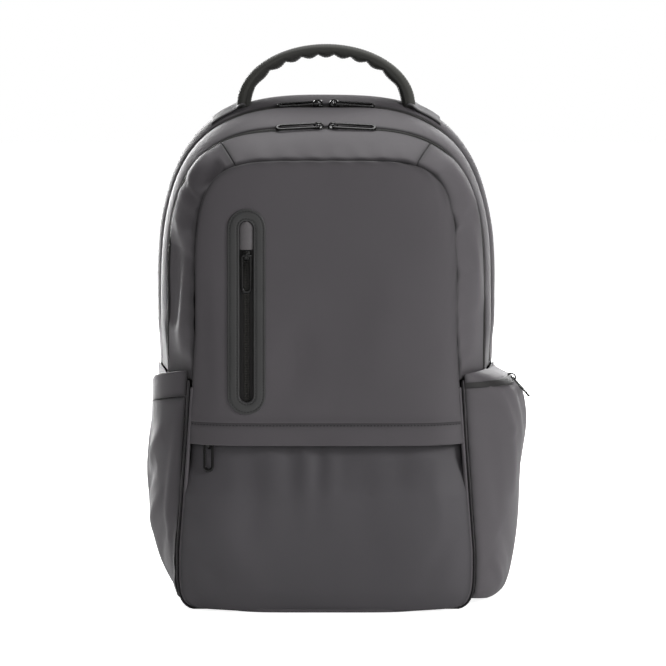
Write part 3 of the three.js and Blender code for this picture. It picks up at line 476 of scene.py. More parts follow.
class Nodes:
    """Adds and joins nodes of a tree in short lines."""

    def __init__(self, tree):
        self.tree = tree

    def add(self, kind, inputs=None, **settings):
        node = self.tree.nodes.new(kind)
        for name, value in settings.items():
            setattr(node, name, value)
        for key, value in (inputs or {}).items():
            if isinstance(value, bpy.types.NodeSocket):
                self.tree.links.new(value, node.inputs[key])
            else:
                node.inputs[key].default_value = value
        return node

    def math(self, operation, a, b=0.0, c=0.0):
        inputs = {0: a, 1: b}
        if operation == "MULTIPLY_ADD":
            inputs[2] = c
        return self.add("ShaderNodeMath", inputs, operation=operation).outputs[0]

    def blend(self, share, a, b):
        node = self.add("ShaderNodeMix", data_type="RGBA")
        for key, value in ((0, share), (6, a), (7, b)):
            if isinstance(value, bpy.types.NodeSocket):
                self.tree.links.new(value, node.inputs[key])
            else:
                node.inputs[key].default_value = value
        return node.outputs[2]

    def noise(self, vector, scale, detail=2.0, roughness=0.5):
        inputs = {"Vector": vector, "Scale": scale, "Detail": detail, "Roughness": roughness}
        return self.add("ShaderNodeTexNoise", inputs).outputs["Fac"]


def new_group(name, inputs, outputs):
    """A shader node group with named sockets. Returns it, its nodes, its input and its output."""
    tree = bpy.data.node_groups.new(name, "ShaderNodeTree")
    for label, kind, value in inputs:
        socket = tree.interface.new_socket(label, in_out="INPUT", socket_type=kind)
        socket.default_value = value
    for label, kind in outputs:
        tree.interface.new_socket(label, in_out="OUTPUT", socket_type=kind)
    nodes = Nodes(tree)
    return tree, nodes, nodes.add("NodeGroupInput").outputs, nodes.add("NodeGroupOutput").inputs


COLOR, FLOAT = "NodeSocketColor", "NodeSocketFloat"

# %% The weave as a node group
weave_group, w, given, result = new_group(
    "woven_cloth",
    [("Color", COLOR, (0.1, 0.1, 0.1, 1)), ("Worn Color", COLOR, (0.2, 0.2, 0.2, 1)),
     ("Thread", FLOAT, 0.0006), ("Mottle", FLOAT, 0.3), ("Creases", FLOAT, 0.3),
     ("Gloss", FLOAT, 0.6), ("Contrast", FLOAT, 0.05)],
    [("Color", COLOR), ("Roughness", FLOAT), ("Height", FLOAT)],
)
coordinates = w.add("ShaderNodeTexCoord").outputs
flat = w.add("ShaderNodeSeparateXYZ", {0: coordinates["UV"]}).outputs
turns = w.math("DIVIDE", 2 * math.pi, given["Thread"])
warp = w.math("SINE", w.math("MULTIPLY", flat[0], turns))
diagonal = w.math("MULTIPLY", w.math("ADD", flat[0], flat[1]), turns)
weft = w.math("SINE", w.math("MULTIPLY", flat[1], turns))
twill = w.math("SINE", w.math("MULTIPLY", diagonal, 0.5))
thread = w.math("MULTIPLY_ADD", w.math("MULTIPLY", warp, weft), 0.5, w.math("MULTIPLY", twill, 0.35))
patches = w.noise(coordinates["Object"], 9.0, 3.0)
fibres = w.noise(coordinates["Object"], 420.0, 2.0)
soft = w.noise(coordinates["Object"], 26.0, 3.0, 0.45)
edge = w.add("ShaderNodeAttribute", attribute_name="rim").outputs["Fac"]
tone = w.math("MULTIPLY_ADD", w.math("SUBTRACT", patches, 0.5), given["Mottle"], 0.5)
tone = w.math("ADD", tone, w.math("MULTIPLY", w.math("SUBTRACT", fibres, 0.5), 0.22))
tone = w.math("ADD", tone, w.math("MULTIPLY", thread, given["Contrast"]))
colour = w.blend(tone, given["Color"], given["Worn Color"])
# Painted shade: where the rim value is high the colour is darkened, for the grooves of seams, the
# underside of the handle and the back's channels.
shade = w.math("MULTIPLY_ADD", edge, -0.8, 1.0)
grey = w.add("ShaderNodeCombineXYZ", {0: shade, 1: shade, 2: shade}).outputs[0]
painted_shade_colour = w.add("ShaderNodeVectorMath", {0: colour, 1: grey}, operation="MULTIPLY").outputs[0]
w.tree.links.new(painted_shade_colour, result["Color"])
gloss = w.math("MULTIPLY_ADD", w.math("SUBTRACT", patches, 0.5), 0.18, given["Gloss"])
gloss = w.math("MULTIPLY_ADD", w.math("SUBTRACT", fibres, 0.5), 0.12, gloss)
w.tree.links.new(gloss, result["Roughness"])
height = w.math("MULTIPLY", thread, 0.12)
height = w.math("MULTIPLY_ADD", w.math("MULTIPLY", soft, given["Creases"]), 4.0, height)
height = w.math("MULTIPLY_ADD", fibres, 0.15, height)
w.tree.links.new(height, result["Height"])
print("woven_cloth has", len(weave_group.nodes), "nodes")


# %% Cloth, rubber, plastic and metal
def new_material(name):
    material = bpy.data.materials.new(name)
    material.use_nodes = True
    nodes = Nodes(material.node_tree)
    shader = material.node_tree.nodes["Principled BSDF"]
    return material, nodes, shader.inputs


def cloth_finish(name, color, worn, thread=0.0006, mottle=0.6, creases=0.7, gloss=0.6, sheen=0.1,
                 bump=0.5, contrast=0.05):
    material, nodes, shader = new_material(name)
    values = {"Color": color, "Worn Color": worn, "Thread": thread, "Mottle": mottle,
              "Creases": creases, "Gloss": gloss, "Contrast": contrast}
    woven = nodes.add("ShaderNodeGroup", node_tree=weave_group)
    for label, value in values.items():
        woven.inputs[label].default_value = value
    link = material.node_tree.links.new
    link(woven.outputs["Color"], shader["Base Color"])
    link(woven.outputs["Roughness"], shader["Roughness"])
    relief = nodes.add("ShaderNodeBump", {"Height": woven.outputs["Height"], "Strength": bump,
                                          "Distance": 0.0004})
    link(relief.outputs[0], shader["Normal"])
    shader["Sheen Weight"].default_value = sheen
    shader["Sheen Roughness"].default_value = 0.45
    shader["Specular IOR Level"].default_value = 0.35
    return material


def moulded_finish(name, color, worn, roughness, grain=900.0, coat=0.0, specular=0.5):
    material, nodes, shader = new_material(name)
    at = nodes.add("ShaderNodeTexCoord").outputs["Object"]
    fine = nodes.noise(at, grain, 3.0)
    broad = nodes.noise(at, 60.0, 2.0)
    link = material.node_tree.links.new
    link(nodes.blend(broad, color, worn), shader["Base Color"])
    uneven = nodes.math("MULTIPLY_ADD", nodes.math("SUBTRACT", broad, 0.5), 0.25, roughness)
    link(uneven, shader["Roughness"])
    relief = nodes.add("ShaderNodeBump", {"Height": fine, "Strength": 0.15, "Distance": 0.0001})
    link(relief.outputs[0], shader["Normal"])
    shader["Specular IOR Level"].default_value = specular
    shader["Coat Weight"].default_value = coat
    return material


front_cloth = cloth_finish("front_cloth", srgb(77, 74, 77), srgb(90, 86, 90))
side_cloth = cloth_finish("side_cloth", srgb(78, 75, 78), srgb(90, 86, 90))
# A copy of the front cloth painted a little darker: painted shade for the lower pocket and the bottom.
lower_cloth_shaded = cloth_finish("lower_cloth_shaded", srgb(73, 71, 74), srgb(85, 82, 86))
zip_cloth = cloth_finish("zip_cloth", srgb(22, 21, 21), srgb(34, 33, 33), thread=0.0009, contrast=0.3)
handle_cloth = cloth_finish("handle_cloth", srgb(52, 52, 49), srgb(74, 74, 70), thread=0.0011,
                            bump=0.6, gloss=0.7, creases=0.3, contrast=0.25)
mesh_cloth = cloth_finish("mesh_cloth", srgb(26, 26, 28), srgb(60, 60, 63), thread=0.0032,
                          bump=0.9, gloss=0.8, creases=0.3, contrast=0.35)
webbing_cloth = cloth_finish("webbing_cloth", srgb(30, 30, 31), srgb(48, 48, 49), thread=0.0016,
                             bump=0.7, creases=0.1, contrast=0.4)
lining_cloth = cloth_finish("lining_cloth", srgb(60, 60, 62), srgb(70, 70, 72), thread=0.0008)
garage_cloth = cloth_finish("garage_cloth", srgb(92, 89, 91), srgb(108, 105, 107))
bonded = moulded_finish("bonded_film", srgb(54, 54, 54), srgb(64, 64, 64), 0.45, grain=1400.0)
thread_finish = moulded_finish("stitch_thread", srgb(24, 23, 24), srgb(36, 35, 36), 0.6)
anchor_cloth = cloth_finish("anchor_cloth", srgb(84, 82, 84), srgb(98, 96, 99))
coil_finish = moulded_finish("zip_coil", srgb(40, 39, 36), srgb(56, 55, 51), 0.4)
plastic = moulded_finish("strap_plastic", srgb(20, 20, 21), srgb(30, 30, 31), 0.42)
metal = moulded_finish("black_metal", srgb(4, 3, 3), srgb(8, 7, 6), 0.26, coat=0.2, specular=0.35)
print(len(bpy.data.materials), "materials")

# %% [markdown]
# ## Camera and light
# The photograph was taken from the front, a little above the middle, with a long lens. A soft key
# light stands to the right, a weak fill in front and a wide light above. Two narrow lights behind
# the bag draw the bright rims along its sides. The background of the photo is plain white, which
# a lit floor alone doesn't reach, so the floor and the sky are brighter for the camera's own rays.

# %% Camera, floor and lights
view_distance, view_elevation = 2.6, math.radians(7)
millimetres_per_pixel = 0.89
photo_size, bag_middle_px, target_px = 666, 326.0, 326.9
target = np.array([0, 0, 240.0]) + bag_shift
offset = np.array([photo_size / 2 - bag_middle_px, 0, target_px - photo_size / 2]) * millimetres_per_pixel
aim = (target + offset) / 1000
camera = bpy.data.cameras.new("camera")
camera.sensor_width = 36.0
camera.lens = 36.0 * view_distance * 1000 / (photo_size * millimetres_per_pixel)
eye = bpy.data.objects.new("camera", camera)
eye.location = aim + view_distance * np.array([0, -math.cos(view_elevation), math.sin(view_elevation)])
eye.rotation_euler = (math.pi / 2 - view_elevation, 0, 0)
bpy.context.scene.collection.objects.link(eye)
bpy.context.scene.camera = eye


def area_light(name, place_at, look_at, size, power):
    lamp = bpy.data.lights.new(name, "AREA")
    lamp.shape = "RECTANGLE"
    lamp.size, lamp.size_y = size
    lamp.energy = power
    shape = bpy.data.objects.new(name, lamp)
    away = unit(np.array(place_at, float) - np.array(look_at, float))
    side = unit(np.cross([0, 0, 1.0], away))
    up = np.cross(away, side)
    rows = [[side[i], up[i], away[i], place_at[i]] for i in range(3)]
    shape.matrix_world = Matrix(rows + [[0, 0, 0, 1]])
    shape.visible_camera = False
    bpy.context.scene.collection.objects.link(shape)


area_light("key", (2.1, -1.3, 1.5), (0, 0, 0.25), (0.8, 0.8), 40)
area_light("fill", (0.3, -2.8, 0.8), (0, 0, 0.2), (1.4, 1.4), 6)
area_light("right_rim", (0.6, 1.9, 0.6), (0, 0, 0.25), (0.4, 1.2), 16)
area_light("top", (0.1, 0.5, 1.9), (0, 0, 0.3), (1.4, 1.0), 23)
area_light("left_rim", (-0.75, 1.75, 0.4), (0, 0, 0.25), (0.4, 1.2), 44)

world = bpy.data.worlds.new("studio")
world.use_nodes = True
sky = Nodes(world.node_tree)
background = world.node_tree.nodes["Background"]
# The camera sees a white sky, while the bag is lit by a much weaker one.
seen_by_camera = sky.add("ShaderNodeLightPath").outputs["Is Camera Ray"]
strength = sky.math("MULTIPLY_ADD", seen_by_camera, 0.82, 0.18)
world.node_tree.links.new(strength, background.inputs[1])
background.inputs[0].default_value = (1, 1, 1, 1)
bpy.context.scene.world = world
bpy.context.scene.view_settings.view_transform = "Standard"

floor_mesh = bpy.data.meshes.new("floor")
floor_height = -0.0005
floor_corners = [(x, y, floor_height) for x, y in ((-9, -5), (9, -5), (9, 7), (-9, 7))]
floor_mesh.from_pydata(floor_corners, [], [(0, 1, 2, 3)])
floor_finish, floor_nodes, floor_shader = new_material("pale_floor")
floor_shader["Base Color"].default_value = (0.9, 0.9, 0.9, 1)
floor_shader["Roughness"].default_value = 0.9
floor_shader["Emission Color"].default_value = (1, 1, 1, 1)
# The glow is for the camera alone, so the floor turns white without lighting the bag.
floor_seen = floor_nodes.add("ShaderNodeLightPath").outputs["Is Camera Ray"]
floor_glow = floor_nodes.math("MULTIPLY", floor_seen, 0.9)
floor_finish.node_tree.links.new(floor_glow, floor_shader["Emission Strength"])
floor_mesh.materials.append(floor_finish)
floor = bpy.data.objects.new("floor", floor_mesh)
bpy.context.scene.collection.objects.link(floor)
print("lens", round(camera.lens, 1), "mm")

# %% [markdown]
# ## The arch: gussets between the zips
# Strips of cloth run over the top of the bag between the back seam, the two zips and the front
# panel. Each is a little full between its seams, and its long edges fold over the zips.

# %% Gussets of the arch
zip_half = zip_width / 2
cloth_over_zip = 2.7  # the folded edges end this far from the zip's middle
band_end = side_seam - side_gap / 2
seam_roll = (3.6, 1.5)
zip_fold = (2.6, 1.3)


def puff_at(s, share):
    z = outline(MAIN_ZIP, s)[1]
    lobe = np.maximum(0, np.sin(math.pi * np.clip(share, 0, 1))) ** 0.7
    return puff_height * smooth((z - side_top - 12) / puff_fade) * lobe


def arch_strip(name, nodes, v0, v1, s0, s1, rims, relief):
    ss = paced(lambda s: tunnel((v0 + v1) / 2, s), s0, s1, 2.6)
    vs = paced(lambda v: tunnel(v, 0.2), v0, v1, 1.9)
    v, s = grid(vs, ss)
    points = tunnel(v, s)
    share = (v - v0) / (v1 - v0)
    distance = rim_distances(points)
    raised = puff_at(s, share) + relief(points, distance)
    return sew(name, points, wall, side_cloth, nodes, rims, raised)


def back_relief(points, distance):
    near = np.minimum(distance["v0"], distance["v1"])
    lines = folds(points, [(-118, 330, -138, 262, 7, -1.6), (128, 318, 143, 262, 7, -1.4)])
    return 0.5 * waves(points, 80, 1) + puckers(distance["u0"], near, 14, 0.15, 5, 2) + lines


def middle_relief(points, distance):
    lines = folds(points, [(-128, 332, -140, 250, 5, -1.5), (122, 345, 139, 270, 5, -1.3)])
    return 0.5 * waves(points, 60, 3) + lines


back_rims = {"v0": seam_roll, "v1": seam_roll, "u0": seam_roll, "u1": zip_fold}
arch_strip("back_gusset_cloth", ["back_gusset"], BACK, row_beside(MAIN_ZIP, -cloth_over_zip),
           -band_end, band_end, back_rims, back_relief)
middle_rims = {"v0": seam_roll, "v1": seam_roll, "u0": zip_fold, "u1": zip_fold}
arch_strip("middle_gusset_cloth", ["middle_gusset"], row_beside(MAIN_ZIP, cloth_over_zip),
           row_beside(FRONT_ZIP, -cloth_over_zip), -band_end, band_end, middle_rims, middle_relief)

gusset_back, gusset_front = row_beside(FRONT_ZIP, cloth_over_zip), row_beside(FRONT, -gap)


def front_relief(points, distance):
    lines = folds(points, [
        (-92, 384, -112, 366, 6, -2.6), (-104, 392, -122, 356, 7, 1.4),
        (-112, 352, -124, 372, 5, -1.5), (-122, 340, -132, 318, 9, 1.6),
        (-130, 330, -134, 250, 7, -2.4), (-121, 300, -124, 225, 6, 1.5),
        (96, 372, 112, 346, 6, -2.0), (104, 388, 122, 350, 8, 1.2), (116, 330, 122, 296, 6, -2.2),
        (124, 330, 131, 262, 7, 1.5), (116, 290, 120, 225, 6, -1.3),
    ])
    near = distance["u1"]
    return 1.6 * lines + 0.8 * waves(points, 70, 5) + puckers(distance["v0"], near, 22, 0.5, 9, 6)


front_rims = {"u0": zip_fold, "u1": (3.0, 2.1)}
cross_roll = (1.6, 0.9)
top_rims = {**front_rims, "v0": cross_roll, "v1": cross_roll}
arch_strip("front_gusset_top_cloth", ["front_gusset_top"], gusset_back, gusset_front,
           -cross_seam, cross_seam, top_rims, front_relief)
for word, side in (("left", -1), ("right", 1)):
    ends = (-band_end, -cross_seam) if side < 0 else (cross_seam, band_end)
    cross, low = ("v1", "v0") if side < 0 else ("v0", "v1")
    arch_strip(f"front_gusset_{word}_cloth", [f"front_gusset_{word}"], gusset_back, gusset_front,
               *ends, {**front_rims, cross: cross_roll, low: seam_roll}, front_relief)
print("the arch has 5 dressed gussets")

# %% [markdown]
# ## Side panels, floor and the walls inside
# Under the pocket mouths the body is closed by two side panels and a bottom panel. The pockets
# hide most of the sides, so these stay plain, but their edges roll into the seams. The two walls
# inside are seen only through gaps, so their solids stay and just get the lining's finish.

# %% Side panels and bottom
plain_seam = (2.4, 1.0)
# Here too the normals point into the bag, so both side panels lie outside their surface.
for word, side in (("left", -1), ("right", 1)):
    vs = paced(lambda v: tunnel(v, 1.5), BACK, gusset_front, 4)
    ss = paced(lambda s: tunnel(1.5, s), side_seam + side_gap / 2, 2.5 - side_gap, 5)
    v, s = grid(vs, ss)
    points = tunnel(v, side * s)
    rims = {rim: plain_seam for rim in ("u0", "u1", "v0", "v1")}
    sew(f"side_panel_{word}_cloth", points, wall, side_cloth, [f"side_panel_{word}"], rims,
        0.3 * waves(points, 60, 8), flip=side > 0)

vs = paced(lambda v: tunnel(v, 2.9), BACK, gusset_front, 5)
share = np.linspace(-0.5 + side_gap, 0.5 - side_gap, 61)
v, across = grid(vs, share)
points = tunnel(v, np.where(across < 0, -3 - across, 3 - across))
sew("bottom_cloth", points, wall, lower_cloth_shaded, ["bottom_panel"], {"u0": plain_seam, "u1": (4, 0.6)},
    0 * across, flip=True, inner=points)
for name in ("divider", "pocket_back"):
    frame["nodes"][name].data.materials[0] = lining_cloth
print("sides and bottom")

# %% [markdown]
# ## The front panel
# One large piece of cloth closes the front compartment. It swells a little, rolls into a deep
# seam around the arch and is cut open for the upright zip. The sheet is made as rings around its
# middle, because the rings follow the seam, and the slot is cut by a Boolean afterwards.

# %% Front panel
def slot_outline(margin, steps=24):
    """The rounded slot's outline, x and z, drawn wider by a margin."""
    radius = slot_width / 2 + margin
    turn = np.linspace(0, math.pi, steps)
    top = np.stack([radius * np.cos(turn), slot_top + margin - radius + radius * np.sin(turn)], -1)
    low = np.stack([-radius * np.cos(turn), slot_bottom - margin + radius - radius * np.sin(turn)], -1)
    count = round((slot_top - slot_bottom) / 3)
    left = np.linspace(top[-1], low[0], count)[1:-1]
    right = np.linspace(low[-1], top[0], count)[1:-1]
    return np.concatenate([top, left, low, right]) + np.array([slot_x, 0])


def ringed(edge, middle, depth, step=3.0):
    """Rings of points from a face's middle to its edge."""
    reach = np.linalg.norm(edge - middle, axis=1).mean()
    shares = marks(reach, step, start=False) / reach
    x = mix(middle[0], edge[:, None, 0], shares)
    z = mix(middle[1], edge[:, None, 1], shares)
    return np.stack([x, depth(x, z), z], -1)


end = float(side_at(FRONT, hem_top))
around = paced(lambda s: tunnel(FRONT, s), -end, end, 2.6, (False, False))
edge = lifted(FRONT, around, -gap)[:, [0, 2]]
hem = np.linspace(edge[-1], edge[0], 90)[1:-1]
edge = np.concatenate([edge, hem])
panel_middle = np.array([0, (hem_top + shoulder_height + seam(FRONT)["rise"]) / 2])
points = ringed(edge, panel_middle, front_face)
x, z = points[..., 0], points[..., 2]
seam_distance = np.broadcast_to(rim_distances(points)["v1"], x.shape)
hem_distance, hem_fade = z - hem_top, 6
sunk = np.where(hem_distance < hem_fade, roll(hem_distance, 0.8, 0.2), 0)
at_seam = 1 - smooth((hem_fade - hem_distance) / hem_fade)
sunk = sunk + roll(seam_distance, 3.4, 2.1) * at_seam
raised = 0.55 * waves(points, 110, 11) * smooth(seam_distance / 40)
raised += puckers(travelled(points, 0), seam_distance, 26, 0.35, 8, 12) * at_seam
raised += folds(points, [
    (-30, 190, -24, 250, 16, -0.9), (40, 180, 60, 300, 22, 0.8), (-104, 190, -108, 290, 7, -0.7),
])
# Painted shade: the rim value darkens the colour in the groove along the seam.
rim = np.exp(-seam_distance / seam_shade_reach) * at_seam
normals = face_normals(points, True)
normals = normals * -np.sign(normals[..., 1].mean())  # forwards is towards negative y
outer = points + normals * (raised - sunk)[..., None]
inner = points - normals * wall
both = np.concatenate([outer.reshape(-1, 3), inner.reshape(-1, 3)])
faces = closed_faces(*x.shape, True)
panel_uv = np.stack([x, z], -1).reshape(-1, 2)
panel = add_mesh("front_panel_cloth", both, faces, front_cloth, np.concatenate([panel_uv] * 2),
                 np.concatenate([rim.ravel()] * 2))


def prism(name, outline_xz, y0, y1):
    """A closed prism across the bag, to cut with."""
    count = len(outline_xz)
    points = np.concatenate([np.insert(outline_xz, 1, y, axis=1) for y in (y0, y1)])
    i = np.arange(count)
    sides = np.stack([i, (i + 1) % count, (i + 1) % count + count, i + count], -1).tolist()
    mesh = bpy.data.meshes.new(name)
    caps = [i[::-1].tolist(), (i + count).tolist()]
    mesh.from_pydata(((points + bag_shift) / 1000).tolist(), [], sides + caps)
    shape = bpy.data.objects.new(name, mesh)
    bpy.context.scene.collection.objects.link(shape)
    return shape


def baked(shape):
    """The object's mesh with its modifiers applied, in their place."""
    seen = shape.evaluated_get(bpy.context.evaluated_depsgraph_get())
    mesh = bpy.data.meshes.new_from_object(seen)
    shape.modifiers.clear()
    shape.data = mesh
    return shape


def weld(shape, distance=1e-6):
    """Joins points that lie on each other, such as at a pole."""
    shaped = bmesh.new()
    shaped.from_mesh(shape.data)
    bmesh.ops.remove_doubles(shaped, verts=shaped.verts, dist=distance)
    bmesh.ops.dissolve_degenerate(shaped, edges=shaped.edges, dist=distance)
    loose = [edge for edge in shaped.edges if not edge.link_faces]
    bmesh.ops.delete(shaped, geom=loose, context="EDGES")
    bmesh.ops.recalc_face_normals(shaped, faces=shaped.faces)
    shaped.to_mesh(shape.data)
    shaped.free()
    return shape


weld(panel)
cutter = weld(prism("slot_cutter", slot_outline(0.0), -120, -40))
cut = panel.modifiers.new("slot", "BOOLEAN")
cut.operation, cut.solver, cut.object = "DIFFERENCE", "EXACT", cutter
baked(panel)
bpy.data.objects.remove(cutter)
place(panel, ["front_panel"])


def in_slot(point):
    return abs(point.co.x * 1000 - bag_shift[0] - slot_x) < 5 and 0.2 < point.co.z < 0.32


left_over = sum(in_slot(point) for point in panel.data.vertices)
print("front panel", len(panel.data.polygons), "faces,", left_over, "points left in the slot")

# %% [markdown]
# ## The slot's frame, tape and garage
# A film is bonded around the slot as a flat frame with soft edges, and two rows of stitches hold
# it. Behind it lies the zip, and the end of the zip hides under a little flap called a garage.

# %% Bonded frame
stitch_margins = (1.9, 8.5)
ring_marks = np.array([
    0, 0.1, 0.35, 0.8, 1.4, 1.75, 2.05, 2.6, 4, 5.4, 6.8, 7.9, 8.35, 8.8, 9.4, 9.9, 10.2, frame_margin,
])
rings = np.stack([slot_outline(margin, 20) for margin in ring_marks], 1)
ring_x, ring_z = rings[..., 0], rings[..., 1]
at_edge = np.minimum(ring_marks, frame_margin - ring_marks)
rise = frame_thickness * np.sqrt(1 - (1 - np.clip(at_edge / 0.9, 0, 1)) ** 2)
groove = 0.4 * sum(np.exp(-((ring_marks - margin) / 0.5) ** 2) for margin in stitch_margins)
base_y = front_face(ring_x, ring_z)
outer = np.stack([ring_x, base_y - gap - rise + groove, ring_z], -1)
inner = np.stack([ring_x, base_y + 0.2 + 0 * rise, ring_z], -1)
faces = closed_faces(*ring_x.shape, True)
both = np.concatenate([outer.reshape(-1, 3), inner.reshape(-1, 3)])
frame_piece = add_mesh("pocket_frame_film", both, faces, bonded)
place(frame_piece, ["pocket_frame"])
print("frame", len(frame_piece.data.polygons), "faces")

# %% Tape and garage of the slot
tape_depth = wall + 3 * gap
xs = slot_x + np.linspace(-slot_width / 2 - 3.6, slot_width / 2 + 3.6, 25)
zs = np.linspace(slot_bottom - 5.6, slot_top + 5.6, 80)
x, z = grid(xs, zs)
points = np.stack([x, front_face(x, z) + tape_depth, z], -1)
cords = 0.35 * np.exp(-((np.abs(x - slot_x) - 3.3) / 0.7) ** 2)
sew("pocket_tape", points, zip_thickness, zip_cloth, ["pocket_zip"], {}, cords)

garage_half, garage_top = slot_width / 2 - gap, slot_top - gap
round_end = garage_half * (1 - np.sin(np.linspace(0.12, 1, 9) * math.pi / 2) * 0.999)
straight = marks(garage_length - garage_half, 0.9, end=False)
zs = garage_top - garage_length + np.concatenate([straight, garage_length - round_end])
share, z = grid(np.sin(np.linspace(-1, 1, 33) * math.pi / 2), zs)
half = np.sqrt(np.maximum(0.01, garage_half ** 2 - np.maximum(0, z - garage_top + garage_half) ** 2))
x = slot_x + share * half
crown = garage_crown + 0.5 - 1.5 * share ** 2
points = np.stack([x, front_face(x, z) - crown, z], -1)
slats = 0.12 * np.sin((z - garage_top) * 2 * math.pi / 5.2) * (1 - share ** 2)
sew("zip_garage_cloth", points, 1.2, garage_cloth, ["zip_garage"], {"v0": "fold"}, slats)
print("the slot has its tape and its garage")

# %% [markdown]
# ## Hem flap and lower pocket
# The front panel ends in a stitched hem that hangs over the lower pocket's zip. The pocket below
# swells forwards, and its cloth is gathered a little under the flap.

# %% Hem flap
xs = np.sin(np.linspace(-1, 1, 150) * math.pi / 2)
zs = hem_bottom + marks(hem_top + 0.2 - hem_bottom, 1.1)
share, z = grid(xs, zs)
x = share * (half_at(FRONT, z) - gap)
points = np.stack([x, front_face(x, z), z], -1)
stitch_height = 162.6
wavy = 0.45 * np.sin(x / 17 + 1.2 * np.sin(x / 41)) * smooth((hem_top - 1.6 - z) / 14)
wavy -= 0.45 * np.exp(-((z - stitch_height) / 1.1) ** 2)
sew("hem_flap_cloth", points, hem_thickness, front_cloth, ["hem_flap"],
    {"v0": "fold", "v1": (0.8, 0.2), "u0": (3.0, 1.2), "u1": (3.0, 1.2)}, wavy - 0.1,
    uv=np.stack([x, z], -1))
print("hem flap from", hem_bottom, "to", hem_top, "mm")


# %% Lower pocket and its zip
def recess_at(z):
    return hem_recess * smooth((z - recess_end) / (recess_start - recess_end))


def recessed(zs, xs):
    share, z = grid(xs, zs)
    drawn = recess_at(z) / hem_recess * (wall + gap)
    x = share * (half_at(FRONT, z) - 2 * gap - drawn)
    return np.stack([x, front_face(x, z) + recess_at(z), z], -1)


lower_top = lower_zip_height - zip_half
zs = 0.6 + marks(lower_top - 0.6, 2.2)
points = recessed(zs, np.sin(np.linspace(-1, 1, 170) * math.pi / 2))
x, z = points[..., 0], points[..., 2]
distance = rim_distances(points)
under_flap = np.exp(-((lower_top - z) / 48) ** 2)
gathers = np.sin(x / 4.6 + 1.3 * np.sin(x / 17)) * np.exp(-((x + 30) / 40) ** 2) * under_flap * 1.3
gathers += np.sin(x / 6.3 + 0.7) * np.exp(-((x - 60) / 44) ** 2) * under_flap * 0.6
away = smooth(distance["u0"] / 25) * smooth(distance["u1"] / 25)
raised = gathers + 0.8 * waves(points, 95, 21) * away
raised += folds(points, [
    (-118, 60, -92, 24, 9, -1.2), (-100, 88, -60, 20, 14, 1.0), (112, 70, 84, 22, 10, -1.1),
    (30, 118, 44, 40, 18, -0.9), (-60, 130, -66, 60, 12, -0.8), (96, 128, 100, 66, 9, 0.8),
])
near = np.minimum(distance["u0"], distance["u1"])
raised += puckers(z, near, 19, 0.45, 7, 22)
sew("lower_pocket_cloth", points, wall, lower_cloth_shaded, ["lower_pocket"],
    {"u0": (2.4, 1.1), "u1": (2.4, 1.1), "v0": (7, 1.6), "v1": (2, 0.8)}, raised,
    uv=np.stack([x, z], -1))

zs = np.linspace(lower_zip_height - zip_half + gap, hem_top, 10)
points = recessed(zs, np.sin(np.linspace(-1, 1, 120) * math.pi / 2))
sew("lower_tape", points, zip_thickness, zip_cloth, ["lower_zip"], {}, 0 * points[..., 0])
print("the lower pocket reaches up to", lower_top, "mm")

# %% [markdown]
# ## Side pockets
# The left pocket takes a bottle and is open at its mouth, under a wide hem. The right one is
# filled and closed by a zip along its top. Both are sewn to the body along two upright seams,
# and soft diagonal folds run from those seams into the cloth.

# %% Side pocket surfaces
left_profile = np.array([
    [0.004, -1.3], [0.004, -0.7], [0.03, -0.35], [0.09, 0.15], [0.18, 0.58], [0.35, 1.05],
    [0.54, 1.12], [0.7, 1.02], [0.8, 0.92], [0.884, 0.86], [1, 0.84],
])
right_profile = np.array([
    [0.004, -0.55], [0.004, 0.3], [0.012, 0.52], [0.05, 0.7], [0.15, 0.83], [0.36, 0.99],
    [0.6, 1.07], [0.73, 1.13], [0.82, 1.1], [0.885, 1.02], [0.915, 0.91], [0.945, 0.68],
    [0.968, 0.4], [0.985, 0.1],
])
pocket_front, pocket_back_row, corner_lift, steepest = 2.94, 0.12, 14.0, 0.3


def rounded_row(rows, at, column):
    """A table's column at a fractional row, on a smooth curve through its values."""
    values = np.concatenate([rows[:1, column], rows[:, column], rows[-1:, column]])
    i = np.clip(np.floor(at).astype(int), 0, len(rows) - 2)
    t = at - i
    p0, p1, p2, p3 = (values[i + k] for k in range(4))
    return 0.5 * (2 * p1 + (p2 - p0) * t + (2 * p0 - 5 * p1 + 4 * p2 - p3) * t ** 2
                  + (3 * p1 - p0 - 3 * p2 + p3) * t ** 3)


def pocket_surface(side, room, profile, square, flare, drop):
    def surface(a, b):
        v = mix(pocket_front, pocket_back_row, a)
        bump = np.maximum(0, 1 - np.abs(2 * a - 1) ** square) ** flare
        share = np.maximum(0.002, rounded_row(profile, b, 0))
        z = share * (pocket_height - drop * a) + corner_lift * (1 - bump) * (1 - share)
        slope = tunnel_normal(v, side_at(v, z))[..., 0]
        flat_x = half_at(v, z) + (gap + pocket_wall) / np.maximum(steepest, slope)
        full_x = seam(v)["low"] + room * rounded_row(profile, b, 1)
        x = np.maximum(flat_x, mix(flat_x, full_x, bump))
        return np.stack([side * x, seam(v)["y"] + lean_at(v, z), z], -1)
    return surface


def across_surface(surface, a, b, step=1e-3):
    """The direction across a pocket's surface."""
    along_a = surface(a + step, b) - surface(a - step, b)
    along_b = surface(a, b + step) - surface(a, b - step)
    return unit(np.cross(along_a, along_b))


left_surface = pocket_surface(-1, left_room, left_profile, 2.6, 0.8, 30)
right_surface = pocket_surface(1, right_room, right_profile, 3, 0.7, 8)
left_hem_row, right_rim_row, right_zip_row, row_gap = 9, 10.2, 11.1, 0.03
print("the pockets stand", left_room, "and", right_room, "mm out of the body")


